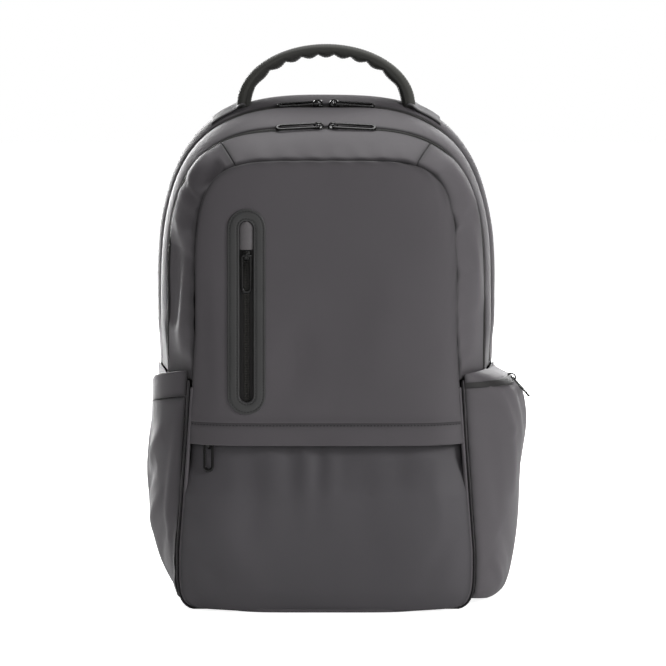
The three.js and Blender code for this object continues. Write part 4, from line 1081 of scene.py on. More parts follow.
# %% Side pockets
# The normals of these grids point into the bag. So the cloth lies outside its surface by its
# thickness, a sewn rim stands out a little, and a fold written as a ridge becomes a dent.
def pocket_piece(name, nodes, surface, side, b0, b1, step, rims, relief, thickness=pocket_wall,
                 lift=0.0, finish=side_cloth, fine=(True, True)):
    middle = 0.5 * np.ones(3001)
    bs = paced(lambda b: surface(middle, b), b0, b1, step, fine)
    across = paced(lambda a: surface(a, np.full(a.shape, (b0 + b1) / 2)), 0, 1, 2.2)
    a, b = grid(across, bs)
    points = surface(a, b)
    distance = rim_distances(points)
    raised = lift + relief(points, b, distance)
    return sew(name, points, thickness, finish, nodes, rims, raised, flip=side > 0)


def left_relief(points, b, distance):
    lines = folds(points, [
        (-34, 148, 14, 118, 9, -1.6), (-22, 118, 26, 92, 9, 1.7), (-40, 96, 4, 60, 8, -1.5),
        (-50, 70, -10, 36, 8, 1.3), (30, 150, 44, 90, 8, -1.2), (-56, 170, -50, 60, 5, -1.4),
        (-62, 130, -58, 40, 4, 1.0),
    ], (1, 2))
    near = np.minimum(distance["u0"], distance["u1"])
    under_hem = smooth((left_hem_row - 0.4 - b) / 1.2)
    lines = lines + 0.9 * waves(points, 60, 31) * smooth(near / 12)
    return (lines + puckers(points[..., 2], near, 17, 0.5, 8, 32)) * under_hem


def right_relief(points, b, distance):
    lines = folds(points, [
        (-44, 192, -26, 150, 7, -1.8), (-30, 150, -22, 96, 9, -1.2), (-52, 176, -46, 80, 7, 1.3),
        (-10, 196, 10, 150, 9, 1.2), (26, 188, 34, 120, 9, -1.4), (-40, 60, 0, 24, 9, 1.2),
        (-52, 40, -30, 14, 6, -1.3), (40, 96, 30, 40, 10, 1.0),
    ], (1, 2))
    near = np.minimum(distance["u0"], distance["u1"])
    lines = lines + waves(points, 70, 33) * smooth(near / 12)
    return lines + puckers(points[..., 2], near, 18, 0.5, 8, 34)


def no_relief(points, b, distance):
    return 0.0 * b


seams = {"u0": (1.8, 0.6), "u1": (1.8, 0.6)}
below_zip, above_zip = 0.37, 0.35  # rows by which the cloth covers the side zip's tape
pocket_piece("left_pocket_cloth", ["left_pocket"], left_surface, -1, 0, left_hem_row - row_gap, 2.4,
             {**seams, "v1": (1.6, 0.7)}, left_relief)
pocket_piece("left_pocket_hem_cloth", ["left_pocket_hem"], left_surface, -1, left_hem_row + row_gap,
             10, 1.6, {**seams, "v0": (1.4, 1.0), "v1": "fold"}, no_relief, 2.4, 0.8)
pocket_piece("right_pocket_cloth", ["right_pocket"], right_surface, 1, 0, right_rim_row + below_zip,
             2.4, {**seams, "v1": (2.0, 1.0)}, right_relief)
pocket_piece("right_pocket_tape", ["right_pocket_zip"], right_surface, 1, right_rim_row + row_gap,
             right_zip_row - row_gap, 1.2, {}, no_relief, zip_thickness, -0.9, zip_cloth,
             (False, False))
pocket_piece("right_pocket_top_cloth", ["right_pocket_top"], right_surface, 1,
             right_zip_row - above_zip, 13, 1.8, {**seams, "v0": (2.0, 1.0)}, no_relief)
print("the side pockets have 5 pieces")

# %% [markdown]
# ## Pressure in padded pieces
# Foam swells between the lines where its cover is sewn down. The swelling could be drawn by hand,
# but a cloth simulation finds it from the seams: the sewn lines are pinned, a pressure pushes from
# inside, and no gravity acts. A cap keeps the piece near its solid. The grids are fine already and
# carry their own UV map, so no remesh and no subdivision is needed.

# %% Pressure in padded pieces
pinned_above = 0.3  # the rim value from which a point counts as sewn


def inflate(shape, reach, pressure=4.0, frames=20):
    """Pressure swells a closed piece between its seams, by no more than a reach in millimetres."""
    scene, count = bpy.context.scene, len(shape.data.vertices)
    held, start, moved = np.empty(count), np.empty(count * 3), np.empty(count * 3)
    shape.data.attributes["rim"].data.foreach_get("value", held)
    shape.data.vertices.foreach_get("co", start)
    sewn = shape.vertex_groups.new(name="sewn")
    sewn.add(np.nonzero(held > pinned_above)[0].tolist(), 1.0, "REPLACE")
    cloth = shape.modifiers.new("cloth", "CLOTH")
    settings = cloth.settings
    settings.quality, settings.mass, settings.air_damping = 5, 0.2, 5
    settings.tension_stiffness, settings.compression_stiffness = 15, 15
    settings.shear_stiffness, settings.bending_stiffness = 5, 0.5
    settings.vertex_group_mass = "sewn"
    settings.use_pressure, settings.uniform_pressure_force = True, pressure
    settings.effector_weights.gravity = 0
    cloth.point_cache.frame_start, cloth.point_cache.frame_end = 1, frames
    for number in range(1, frames + 1):
        scene.frame_set(number)
    seen = shape.evaluated_get(bpy.context.evaluated_depsgraph_get())
    seen.data.vertices.foreach_get("co", moved)
    step = (moved - start).reshape(-1, 3)
    length = np.linalg.norm(step, axis=1, keepdims=True)
    print(shape.name, "swells by up to", round(float(length.max()) * 1000, 2), "mm before its cap")
    step = step * np.minimum(1, reach / 1000 / np.maximum(length, 1e-9))
    shape.modifiers.remove(cloth)
    shape.vertex_groups.remove(sewn)
    shape.data.vertices.foreach_set("co", start + step.ravel())
    shape.data.update()
    scene.frame_set(1)


# %% [markdown]
# ## The padded back
# Behind, the bag rests on the wearer with padded cells under a spacer mesh. Two columns of three
# cells stand on both sides of an air channel along the spine. The cells are raised by a formula
# first, which gives the pressure a shape to swell, because a flat sheet would stay a plain pillow.

# %% Back panel
around = paced(lambda s: tunnel(BACK, s), -3, 3, 4.2, (False, False))[:-1]
edge = lifted(BACK, around, -gap)[:, [0, 2]]
points = ringed(edge, np.array([0, shoulder_height]), back_face, 4.2)
x, z = points[..., 0], points[..., 2]
cell_rows = [(44, 150), (160, 268), (278, 384)]
cell_inner, cell_outer, cell_height = 15, 106, 6.5
across = (np.abs(x) - (cell_inner + cell_outer) / 2) / ((cell_outer - cell_inner) / 2)
pads = 0 * x
for low, high in cell_rows:
    along = (z - (low + high) / 2) / ((high - low) / 2)
    inside = np.maximum(0, 1 - np.abs(across) ** 4) * np.maximum(0, 1 - np.abs(along) ** 4)
    pads = np.maximum(pads, cell_height * inside ** 0.6)
seam_distance = np.broadcast_to(rim_distances(points)["v1"], x.shape)
raised = pads + 0.5 * waves(points, 60, 41) * smooth(seam_distance / 30) - roll(seam_distance, 4, 1.2)
outer = points + np.stack([0 * x, raised, 0 * x], -1)
inner = np.stack([x, 0 * x + seam(BACK)["y"] + gap, z], -1)
both = np.concatenate([outer.reshape(-1, 3), inner.reshape(-1, 3)])
back_uv = np.concatenate([np.stack([x, z], -1).reshape(-1, 2)] * 2)
# The rim value pins the sewn lines, and it paints shade too: it darkens the seam's groove, the channels
# between the cells and the inner face.
channel = 0.35 * (1 - smooth(pads / 2.5))
sewn_and_shaded = np.maximum(np.exp(-seam_distance / seam_shade_reach), channel)
back = add_mesh("back_panel_padding", both, closed_faces(*x.shape, True), mesh_cloth, back_uv,
                np.concatenate([sewn_and_shaded.ravel(), np.ones(x.size)]))
weld(back)
inflate(back, 2.0)
place(back, ["back_panel"])
print("back panel", len(back.data.polygons), "faces")

# %% [markdown]
# ## Straps, handle and other swept pieces
# A strap, a handle and a rod are one section swept along a path. The section may change on the
# way, which makes the finger bumps of the handle and the closed ends of the straps.

# %% Sweeps
def swept(name, path, across, section, finish, closed=False, rim=None):
    """A section (out and across) swept along a path of points. across gives its sideways direction."""
    if closed:
        along = unit(np.roll(path, -1, 0) - np.roll(path, 1, 0))
    else:
        along = unit(np.gradient(path, axis=0))
    across = np.broadcast_to(np.asarray(across, float), path.shape)
    across = unit(across - along * np.sum(across * along, axis=-1, keepdims=True))
    out = np.cross(across, along)
    points = path[:, None] + across[:, None] * section[..., :1] + out[:, None] * section[..., 1:]
    lengths = travelled(path[:, None], 0)
    uv = np.stack([np.broadcast_to(lengths, points.shape[:2]), travelled(points, 1)], -1)
    us, vs = points.shape[:2]
    i, j = grid(np.arange(us if closed else us - 1), np.arange(vs))
    here, beyond = i * vs, ((i + 1) % us) * vs
    next_j = (j + 1) % vs
    faces = np.stack([here + j, beyond + j, beyond + next_j, here + next_j], -1).reshape(-1, 4)
    if closed:
        return add_mesh(name, points, faces, finish, uv)
    points = np.concatenate([points, points[[0, -1]].mean(1, keepdims=True) + 0 * points[[0, -1]]])
    uv = np.concatenate([uv, uv[[0, -1]]])
    if rim is not None:
        rim = np.concatenate([rim, rim[[0, -1]]])
    k = np.arange(vs)
    next_k = (k + 1) % vs
    caps = []
    for ring, pole, turn in ((0, us, -1), (us - 1, us + 1, 1)):
        cap = np.stack([ring * vs + k, pole * vs + k, pole * vs + next_k, ring * vs + next_k], -1)
        caps.append(cap[:, ::turn])
    return weld(add_mesh(name, points, np.concatenate([faces, *caps]), finish, uv, rim))


def oval(half_width, half_depth, power=2.0, steps=32):
    """A rounded section, from a circle (2) towards a rectangle."""
    turn = np.linspace(0, 2 * math.pi, steps, endpoint=False)
    c, s = np.cos(turn), np.sin(turn)
    return np.stack([half_width * np.sign(c) * np.abs(c) ** (2 / power),
                     half_depth * np.sign(s) * np.abs(s) ** (2 / power)], -1)


def smooth_path(rows, steps):
    rows = np.asarray(rows, float)
    at = np.linspace(0, len(rows) - 1, steps)
    return np.stack([rounded_row(rows, at, i) for i in range(3)], -1)


def end_rounding(path, length):
    """1 along a path, falling to nearly 0 on a round curve at its ends."""
    along = travelled(path[:, None], 0)[:, 0]
    left = 1 - np.clip(np.minimum(along, along[-1] - along) / length, 0, 1)
    return np.sqrt(np.maximum(1 - left * left, 0.0025))


# %% Shoulder straps with their webbing
# Each row is a share of half the width, of the depth behind the back, and of the height.
strap_rows = np.array([
    [0.272, 0.092, 0.908], [0.3, 0.13, 0.885], [0.35, 0.27, 0.82], [0.42, 0.41, 0.71],
    [0.49, 0.45, 0.575], [0.55, 0.38, 0.45], [0.59, 0.28, 0.35],
])
webbing_rows = np.array([
    [0.582, 0.285, 0.362], [0.603, 0.238, 0.312], [0.62, 0.2, 0.27],
    [0.68, 0.14, 0.18], [0.75, 0.105, 0.128], [0.757, 0.092, 0.105],
])
strap_width, strap_thickness, webbing_width, webbing_thickness = 60.0, 9.0, 25.0, 1.7


def behind(side, rows):
    scale = np.array([side * body_width / 2, body_depth, body_height])
    return rows * scale + np.array([0, seam(BACK)["y"], 0])


def strap_section(path):
    """A flat pad with a sewn edge: thick in the middle, thin at its bound edges."""
    base = oval(1, 1, 3.2, 60)
    width = strap_width / 2
    across = base[:, 0] * width
    binding = width - np.abs(across)
    seam_line = 0.62 * np.exp(-((binding - 5.2) / 1.6) ** 2)
    thick = strap_thickness / 2 * (1 - seam_line - 0.35 * np.exp(-binding / 4))
    ends = end_rounding(path, 5)[:, None]
    depth = base[:, 1] * thick * ends
    return np.stack([across * (0.9 + 0.1 * ends), depth], -1)


binding_width = 6.5
for word, side in (("left", -1), ("right", 1)):
    path = smooth_path(behind(side, strap_rows), 116)
    section = strap_section(path)
    from_edge = strap_width / 2 - np.abs(section[..., 0])
    bound = np.where(from_edge < binding_width, 0.5, 0)
    bound[[0, 1, -2, -1]] = 0.5
    strap = swept(f"shoulder_strap_{word}_pad", path, (1, 0, 0), section, mesh_cloth, rim=bound)
    inflate(strap, 1.5)
    place(strap, [f"shoulder_strap_{word}"])
    path = smooth_path(behind(side, webbing_rows), 60)
    section = np.broadcast_to(oval(webbing_width / 2, webbing_thickness / 2, 5, 40), (60, 40, 2))
    band = swept(f"strap_webbing_{word}_band", path, (1, 0, 0), section, webbing_cloth)
    place(band, [f"strap_webbing_{word}"])
print("straps", strap_width, "mm wide, webbing", webbing_width, "mm wide")

# %% [markdown]
# ## The handle
# The handle is a padded grip with bumps for the fingers, and its legs are sewn down under two
# tabs. The grip is one sweep along an arch, because the ribs of its cover, the bumps and the wider
# feet are then formulas on its section. Sculpting them would be harder to keep even. The lower
# half is painted darker as shade, since it faces down away from the light, and the rim attribute
# passes this to the cloth's finish.

# %% Handle
handle_span, handle_top, grip_width, grip_thickness = 147.0, 484.4, 24.0, 9.6
finger_pitch, finger_depth, handle_depth = 15.2, 2.8, 60.0
grip_drop = 2.6  # the lower half of the cover is fuller than the core


def top_height(x, y):
    zip_y, back_y = seam(MAIN_ZIP)["y"], seam(BACK)["y"]
    v = np.clip(MAIN_ZIP * (1 - (y - zip_y) / (back_y - zip_y)), BACK, MAIN_ZIP)
    return tunnel(v, arch_at(v, x))[..., 2] + puff_height


handle_half = handle_span / 2
handle_base = top_height(handle_half, handle_depth) - puff_height


def handle_arch(turn):
    x = handle_half * np.sin(turn)
    return np.stack([x, 0 * x + handle_depth, mix(handle_base, handle_top, np.cos(turn) ** 0.92)], -1)


turn = paced(handle_arch, -math.pi / 2 + 1e-4, math.pi / 2 - 1e-4, 0.45, (False, False))
path = handle_arch(turn)
x = path[:, 0]
along = travelled(path[:, None], 0)[:, 0]
finger = np.abs(np.cos(math.pi * x / finger_pitch)) * np.maximum(0, 1 - (x / handle_half) ** 6)
ribs = 0.16 * np.sin(along * 2 * math.pi / 2.4)
base = oval(1, 1, 2.7, 60)
neck = mix(0.72, 1, np.cos(turn) ** 0.5)
flare = 2.2 * np.abs(x / handle_half) ** 6
upper = grip_thickness / 2 + ribs + flare
lower = grip_thickness / 2 + grip_drop - finger_depth * (1 - finger) + ribs + flare / 2
rise = np.where(base[None, :, 1] > 0, upper[:, None], lower[:, None]) * base[:, 1]
binding = 1 - 0.07 * np.exp(-((base[:, 1] + 0.1) / 0.12) ** 2)
section = np.stack([base[:, 0] * (grip_width / 2) * binding * neck[:, None], rise], -1)
# Painted shade: the lower half of the grip's cover is darkened through the rim value.
grip_underside_shade = np.broadcast_to(0.6 * smooth((0.1 - base[:, 1]) / 0.4), section.shape[:2])
section = section * np.array([1, -1])
grip = swept("handle_grip_cover", path, (0, 1, 0), section, handle_cloth, rim=grip_underside_shade)
place(grip, ["handle_grip"])

anchor_inner, anchor_outer = 71.0, 102.0
for word, side in (("left", -1), ("right", 1)):
    vs = paced(lambda v: tunnel(v, 0.3), 0.14, 0.8, 1.2)
    reach = np.linspace(anchor_inner, anchor_outer, 34)
    v, x = grid(vs, side * reach)
    points = lifted(v, arch_at(v, x), puff_height + gap)
    share = (np.abs(x) - anchor_inner) / (anchor_outer - anchor_inner)
    beyond_leg = np.abs(x) - handle_half
    puffed = 0.7 * np.sin(math.pi * np.clip(share, 0, 1)) ** 0.5 + 0.5
    puffed = puffed + 3.2 * np.exp(-((beyond_leg / 6) ** 2))
    seams_around = {rim: (2.2, 1.1) for rim in ("u0", "u1", "v0", "v1")}
    sew(f"handle_anchor_{word}_tab", points, pocket_wall, anchor_cloth, [f"handle_anchor_{word}"],
        seams_around, puffed, flip=side < 0)
print("handle", len(grip.data.polygons), "faces")

# %% [markdown]
# ## The seam allowance around the lower front
# Where two cloths meet, their edges are turned inwards, and a little of them shows in the groove
# of the seam. Widening both cloths until they touch would lose their rolled edges, so a thin roll
# of cloth is swept along the groove instead.

# %% Seam allowance
seam_end = float(side_at(FRONT, side_top - 6))
half_round = np.concatenate([np.linspace(seam_end, 2, 60), np.linspace(2, 3, 60)[1:]])
behind_seam, groove_depth = 1.2, 1.9
right_half = lifted(row_beside(FRONT, -behind_seam), half_round, -groove_depth)
path = np.concatenate([right_half[:-1] * [-1, 1, 1], right_half[::-1]])
section = np.broadcast_to(oval(2.3, 1.7, 2.4, 20), (len(path), 20, 2))
allowance = swept("seam_allowance", path, (0, 1, 0), section, side_cloth)
place(allowance)
print("seam allowance", len(allowance.data.polygons), "faces")

# %% [markdown]
# ## Patches and buckles
# A yoke holds the straps at the top, and a tab holds each webbing below. They are flat patches
# with sewn rims, so they are sheets like the rest. The buckles are moulded and hard, and their
# solids have the right form already, so each is a copy of its solid with bevelled edges.


# %% Patches on the back, and buckles
def back_patch(name, node, x0, x1, z0, z1, thickness, finish):
    x, z = grid(x0 + marks(x1 - x0, 2.0), z0 + marks(z1 - z0, 2.0))
    points = np.stack([x, back_face(x, z) + gap, z], -1)
    rims = {rim: (1.6, 0.9) for rim in ("u0", "u1", "v0", "v1")}
    return sew(name, points, gap, finish, [node], rims, thickness, flip=True,
               inner=points)


back_patch("strap_yoke_patch", "strap_yoke", -75, 75, 398, 414, 3.2, side_cloth)
for word, side in (("left", -1), ("right", 1)):
    x0, x1 = sorted((side * 98, side * 134))
    back_patch(f"strap_tab_{word}_patch", f"strap_tab_{word}", x0, x1, 22, 54, 3.0,
               webbing_cloth)


def rounded_copy(name, node, finish, width, body="bag"):
    """A copy of a hard solid with rounded edges."""
    mesh = frame["nodes"][node].data.copy()
    shape = bpy.data.objects.new(name, mesh)
    bpy.context.scene.collection.objects.link(shape)
    shaped = bmesh.new()
    shaped.from_mesh(mesh)
    bmesh.ops.remove_doubles(shaped, verts=shaped.verts, dist=1e-6)
    bmesh.ops.dissolve_limit(shaped, angle_limit=0.02, verts=shaped.verts, edges=shaped.edges)
    shaped.to_mesh(mesh)
    shaped.free()
    mesh.materials.clear()
    mesh.materials.append(finish)
    bevel = shape.modifiers.new("edges", "BEVEL")
    bevel.width, bevel.segments = width / 1000, 3
    bevel.limit_method, bevel.angle_limit = "ANGLE", 0.5
    baked(shape)
    shape.data.shade_smooth()
    return place(shape, [node], body)


for word in ("left", "right"):
    rounded_copy(f"ladder_lock_{word}_frame", f"ladder_lock_{word}", plastic, 0.9)
print("a yoke, two tabs and two buckles")

# %% [markdown]
# ## Zips
# The tapes lie under the folded cloth, with a coil of small teeth along their middle. A tree of
# geometry nodes sets one small shape at every step along a path, turned to the surface, and the
# same tree sews all the stitches later. Copies placed by a loop would do as well, but a tree can
# be given another pitch or size without any change to its inside.

# %% A tree that repeats a small shape along paths
def repeat_tree():
    tree = bpy.data.node_groups.new("repeat_along_paths", "GeometryNodeTree")
    new = tree.interface.new_socket
    new("Paths", in_out="INPUT", socket_type="NodeSocketGeometry")
    kinds = {"Pitch": "NodeSocketFloat", "Size": "NodeSocketVector", "Finish": "NodeSocketMaterial"}
    for label, kind in kinds.items():
        new(label, in_out="INPUT", socket_type=kind)
    new("Shapes", in_out="OUTPUT", socket_type="NodeSocketGeometry")
    n = Nodes(tree)
    given, result = n.add("NodeGroupInput").outputs, n.add("NodeGroupOutput")
    curve = n.add("GeometryNodeMeshToCurve", {"Mesh": given["Paths"]}).outputs["Curve"]
    out = n.add("GeometryNodeInputNamedAttribute", {"Name": "out"},
                data_type="FLOAT_VECTOR").outputs["Attribute"]
    steps = n.add("GeometryNodeResampleCurve", {"Curve": curve, "Length": given["Pitch"]},
                  mode="LENGTH").outputs[0]
    tangent = n.add("GeometryNodeInputTangent").outputs[0]
    first = n.add("FunctionNodeAlignRotationToVector", {"Vector": tangent}, axis="X").outputs[0]
    turn = n.add("FunctionNodeAlignRotationToVector", {"Rotation": first, "Vector": out}, axis="Z",
                 pivot_axis="X").outputs[0]
    ball = n.add("GeometryNodeMeshIcoSphere", {"Radius": 0.5, "Subdivisions": 2}).outputs["Mesh"]
    ball = n.add("GeometryNodeSetShadeSmooth", {0: ball}).outputs[0]
    made = n.add("GeometryNodeInstanceOnPoints", {"Points": steps, "Instance": ball, "Rotation": turn,
                                                  "Scale": given["Size"]}).outputs[0]
    real = n.add("GeometryNodeRealizeInstances", {0: made}).outputs[0]
    done = n.add("GeometryNodeSetMaterial", {"Geometry": real, "Material": given["Finish"]}).outputs[0]
    tree.links.new(done, result.inputs[0])
    return tree


repeat = repeat_tree()
print(repeat.name, "has", len(repeat.nodes), "nodes")


def repeated(name, paths, pitch, size, finish, body="bag"):
    """Small shapes along paths. Each path is points and the directions out of the surface there."""
    points = np.concatenate([path[0] for path in paths])
    outs = np.concatenate([path[1] for path in paths])
    edges, start = [], 0
    for path, _ in paths:
        edges += [(start + i, start + i + 1) for i in range(len(path) - 1)]
        start += len(path)
    mesh = bpy.data.meshes.new(name)
    mesh.from_pydata(((points + bag_shift) / 1000).tolist(), edges, [])
    mesh.attributes.new("out", "FLOAT_VECTOR", "POINT").data.foreach_set("vector", outs.ravel())
    shape = bpy.data.objects.new(name, mesh)
    bpy.context.scene.collection.objects.link(shape)
    maker = shape.modifiers.new("repeat", "NODES")
    maker.node_group = repeat
    values = {"Pitch": pitch / 1000, "Size": [value / 1000 for value in size], "Finish": finish}
    for item in repeat.interface.items_tree:
        if item.item_type == "SOCKET" and item.in_out == "INPUT" and item.name in values:
            maker[item.identifier] = values[item.name]
    baked(shape)
    return place(shape, (), body)


# %% Tapes and coils of the two long zips
def arch_path(row, lift, beside):
    v = row_beside(row, beside)
    s = paced(lambda s: tunnel(v, s), -band_end, band_end, 1.0, (False, False))
    return lifted(v, s, lift), tunnel_normal(v, s)


coil_rise = 0.45  # how far a coil's middle stands over its tape
tape_marks = (-4.5, -3, -2, -1.4, -0.7, -0.01, 0.7, 1.4, 2, 3, 4.5)
for word, row in (("main", MAIN_ZIP), ("front", FRONT_ZIP)):
    edges = [row_beside(row, beside) for beside in tape_marks]
    ss = paced(lambda s: tunnel(row, s), -band_end, band_end, 4)
    v, s = grid(edges, ss)
    points = lifted(v, s, -zip_sink)
    sew(f"{word}_tape", points, zip_thickness, zip_cloth, [f"{word}_zip"], {}, 0 * s)
    coil = [arch_path(row, -zip_sink + coil_rise, beside) for beside in (-0.85, 0.85)]
    repeated(f"{word}_coil", coil, 1.5, (1.0, 1.9, 1.1), coil_finish)


def face_path(x, z, lift):
    """A path on the front face, lifted off it, with its outward directions."""
    x, z = np.broadcast_arrays(np.asarray(x, float), np.asarray(z, float))
    points = np.stack([x, front_face(x, z), z], -1)
    dx = np.stack([0 * x + 1, (front_face(x + 0.5, z) - front_face(x - 0.5, z)), 0 * x], -1)
    dz = np.stack([0 * x, (front_face(x, z + 0.5) - front_face(x, z - 0.5)), 0 * x + 1], -1)
    out = unit(np.cross(dx, dz))
    out = out * np.where(out[:, 1:2] > 0, -1, 1)
    return points + out * lift, out


zs = np.linspace(slot_bottom + 2, slot_top - garage_length - 3, 130)
slot_coil = [face_path(slot_x + beside, zs, coil_rise - tape_depth) for beside in (-1.35, 1.35)]
repeated("pocket_coil", slot_coil, 1.45, (1.05, 3.0, 1.3), coil_finish)
print("three zips have coils")

# %% [markdown]
# ## Sliders and pulls
# Each slider is a small cast body with a rounded bridge, and its pull is a long closed loop of
# rod that hangs through the bridge. Bevelled copies of the solids would keep their flat faces, so
# both are made new as rings and sweeps. The pull turns about the joint that the frame gives, and
# lies as its solid does, so its direction is read from the solid itself.

# %% Slider and pull shapes
slider_length, slider_width, slider_lift, slider_thickness = 9.0, 7.2, 0.75, 1.4
bridge_half, bridge_height, bridge_width, bridge_band = 4.6, 5.2, 2.4, 1.4
pull_width, pull_rail, pull_thickness, pull_corner = 9.6, 2.4, 1.7, 1.3


def placed(points, origin, along, across, out):
    return origin + points[..., :1] * along + points[..., 1:2] * across + points[..., 2:] * out


def slider_body(name, origin, along, across, out, turned, lead):
    """A waisted plate with round edges and, over it, a bridge of flat rod."""
    length, width = (slider_width, slider_length) if turned else (slider_length, slider_width)
    turn = np.linspace(0, 2 * math.pi, 56, endpoint=False)
    outline_x = length / 2 * np.sign(np.cos(turn)) * np.abs(np.cos(turn)) ** 0.55
    outline_y = width / 2 * np.sign(np.sin(turn)) * np.abs(np.sin(turn)) ** 0.55
    lengthwise = outline_y if turned else outline_x
    waist = 1 - 0.16 * np.exp(-(lengthwise / 2.2 - 0.9) ** 2)
    if turned:
        outline_x = outline_x * waist
    else:
        outline_y = outline_y * waist
    bend = np.linspace(-math.pi / 2, math.pi / 2, 9)
    inset = 0.45 * (1 - np.cos(bend))
    scale = 1 - inset[:, None] / (min(length, width) / 2)
    level = np.sin(bend)[:, None] * slider_thickness / 2 + slider_lift + slider_thickness / 2
    rings = np.stack(np.broadcast_arrays(outline_x * scale, outline_y * scale, level), -1)
    poles = rings[[0, -1]].copy()
    poles[..., :2] = 0
    points = np.concatenate([poles[:1], rings, poles[1:]])
    us, vs = points.shape[:2]
    i, j = grid(np.arange(us - 1), np.arange(vs))
    here, beyond, next_j = i * vs, (i + 1) * vs, (j + 1) % vs
    faces = np.stack([here + j, here + next_j, beyond + next_j, beyond + j], -1)
    plate = add_mesh(name, placed(points, origin, along, across, out), faces.reshape(-1, 4), metal)
    weld(plate)
    half = bridge_half + lead * 0.6 - bridge_band / 2
    base = slider_lift + slider_thickness * 0.7
    turn = np.linspace(0, math.pi, 33)
    arch = np.stack([lead + half * np.cos(turn), 0 * turn,
                     base + (bridge_height - bridge_band / 2) * np.sin(turn) ** 0.8], -1)
    section = np.broadcast_to(oval(bridge_width / 2, bridge_band / 2, 3, 20), (33, 20, 2))
    bridge = swept(name + "_bridge", placed(arch, origin, along, across, out), across, section, metal)
    return join(name, [plate, bridge])


def join(name, shapes):
    joined = bmesh.new()
    for shape in shapes:
        joined.from_mesh(shape.data)
    mesh = bpy.data.meshes.new(name)
    joined.to_mesh(mesh)
    joined.free()
    mesh.materials.append(shapes[0].data.materials[0])
    mesh.shade_smooth()
    for shape in shapes:
        bpy.data.objects.remove(shape)
    piece = bpy.data.objects.new(name, mesh)
    bpy.context.scene.collection.objects.link(piece)
    return piece


def pull_loop(name, hinge, along, across, out, length):
    """A closed rod: a bar through the bridge, two rails and a round, slightly thicker end."""
    half = (pull_width - pull_rail) / 2
    tip = length - pull_rail / 2 - half
    corner = pull_corner
    quarter = np.linspace(0, math.pi / 2, 7)
    turn = np.linspace(-math.pi / 2, math.pi / 2, 22)
    start = np.stack([corner - corner * np.cos(quarter), -half + corner - corner * np.sin(quarter)], -1)
    rail = np.stack([np.linspace(corner, tip, 26)[1:-1], np.full(24, -half)], -1)
    end = np.stack([tip + half * np.cos(turn), half * np.sin(turn)], -1)
    flat = np.concatenate([start, rail, end, rail[::-1] * [1, -1], start[::-1] * [1, -1]])
    flat = np.concatenate([flat, [[0, half / 2], [0, 0], [0, -half / 2]]])
    path = np.stack([flat[:, 0], flat[:, 1], 0 * flat[:, 0]], -1)
    thicker = 1 + 0.22 * smooth((flat[:, 0] - tip + 1) / 4)
    section = oval(pull_thickness / 2, pull_rail / 2, 2.4, 18)[None] * thicker[:, None, None]
    return swept(name, placed(path, hinge, along, across, out), out, section, metal, closed=True)


print("sliders", slider_length, "mm long, pulls", pull_width, "mm wide")


# %% Where each slider lies on its zip
def zip_axes(along, out):
    across = unit(np.cross(out, along))
    return unit(np.cross(across, out)), across, out


def arch_slider(row, side, distance):
    s = arch_at(row, side * distance)
    along = unit(tunnel(row, s + side * 1e-3) - tunnel(row, s - side * 1e-3))
    over = unit(lifted(row_beside(row, -zip_half), s, 0) - lifted(row_beside(row, zip_half), s, 0))
    return lifted(row, s, -zip_sink), along, unit(np.cross(over, along)) * -side


def face_slider(x, z, depth, down=1.0):
    def face(x, z):
        return np.array([x, float(front_face(x, z)) + depth(z), z])

    along = unit(face(x, z - down) - face(x, z))
    slope = unit(face(x + 1, z) - face(x - 1, z))
    return face(x, z), along, unit(np.cross(along, slope))


def side_slider():
    a, b = 0.52, (right_rim_row + right_zip_row) / 2

    def point(a, b):
        return right_surface(np.array(a), np.array(b))

    out = across_surface(point, a, b)
    return point(a, b) - out * zip_sink, unit(point(a, b - 0.1) - point(a, b + 0.1)), out


main_apart, front_apart = 7.4, 6.4  # from the middle of the arch to each slider
main_pull, front_pull, slot_pull, short_pull = 36.5, 38, 33, 24
slot_slider_z = slot_top - garage_length - 5.6
lower_slider_x, lower_lead = -101, 3.2
lower_place = face_slider(lower_slider_x, lower_zip_height, lambda z: float(recess_at(z)), 3.0)
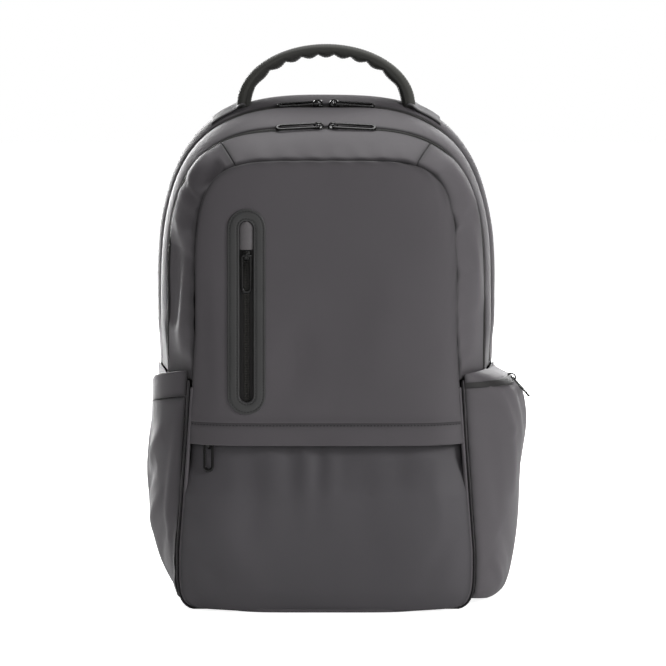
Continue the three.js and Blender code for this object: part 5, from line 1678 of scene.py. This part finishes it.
# Each row is where the slider lies, its pull's length, whether it lies across its zip, and how
# far its bridge is moved along.
sliders = {
    "main_left": (arch_slider(MAIN_ZIP, -1, main_apart), main_pull, False, 0),
    "main_right": (arch_slider(MAIN_ZIP, 1, main_apart), main_pull, False, 0),
    "front_left": (arch_slider(FRONT_ZIP, -1, front_apart), front_pull, False, 0),
    "front_right": (arch_slider(FRONT_ZIP, 1, front_apart), front_pull, False, 0),
    "pocket": (face_slider(slot_x, slot_slider_z, lambda z: tape_depth), slot_pull, False, 0),
    "lower": (lower_place, short_pull, True, lower_lead),
    "side": (side_slider(), short_pull, True, 0),
}
joints = {joint["child"]: joint for joint in frame["joints"]}
for name, ((origin, along, out), length, turned, lead) in sliders.items():
    along, across, out = zip_axes(along, out)
    body = slider_body(f"{name}_slider_body", origin, along, across, out, turned, lead)
    place(body, [f"{name}_slider"])
    joint = joints[f"{name}_pull_body"]
    hinge = np.array(joint["pos_m"]) * 1000 - bag_shift
    across = -np.array(joint["axis"])
    solid_mesh = frame["nodes"][f"{name}_pull"].data
    solid = np.array([vertex.co for vertex in solid_mesh.vertices]) * 1000 - bag_shift
    along = unit(solid.mean(0) - hinge)
    along = unit(along - across * (along @ across))
    loop = pull_loop(f"{name}_pull_loop", hinge, along, across, np.cross(along, across), length)
    place(loop, [f"{name}_pull"], f"{name}_pull_body")
print(len(sliders), "sliders with pulls")

# %% [markdown]
# ## Stitches
# Rows of stitches hold the hem, the frame around the slot and the left pocket's hem. They are
# short soft threads that sink a little into the cloth. A bump in the finish would be lighter, but
# it would lie flat at the edge of the bag, so each stitch is a small ball drawn out by the tree.

# %% Stitch rows
def surface_path(surface, side, a, b, lift):
    """A path on a pocket's surface with its outward directions."""
    out = across_surface(surface, a, b) * side
    return surface(a, b) + out * lift, out


xs = np.linspace(-1, 1, 240) * (half_at(FRONT, stitch_height) - 3.5)
rows = [face_path(xs, stitch_height, -0.25)]
repeated("hem_stitches", rows, 2.9, (1.8, 0.95, 0.8), thread_finish)
rows = []
for margin in stitch_margins:
    outline_points = slot_outline(margin, 60)
    closed = np.concatenate([outline_points, outline_points[:1]])
    rows.append(face_path(closed[:, 0], closed[:, 1], gap + frame_thickness - 0.15))
repeated("frame_stitches", rows, 2.6, (1.7, 0.95, 0.7), thread_finish)
# The threads of the pocket's hem lie mostly inside the cloth, so they hardly show.
a = np.linspace(0.03, 0.97, 200)
rows = [surface_path(left_surface, -1, a, 0 * a + left_hem_row - 0.2, 0.8)]
repeated("pocket_hem_stitches", rows, 2.8, (1.9, 0.95, 0.9), thread_finish)
print("three rows of pieces are stitched")

# %% [markdown]
# ## The bag's size
# The dressed bag has to stay close to the box of its solids. The last call updates the view
# layer, which closes the scene.


# %% The end
def save_sizes():
    bpy.context.view_layer.update()


save_sizes()
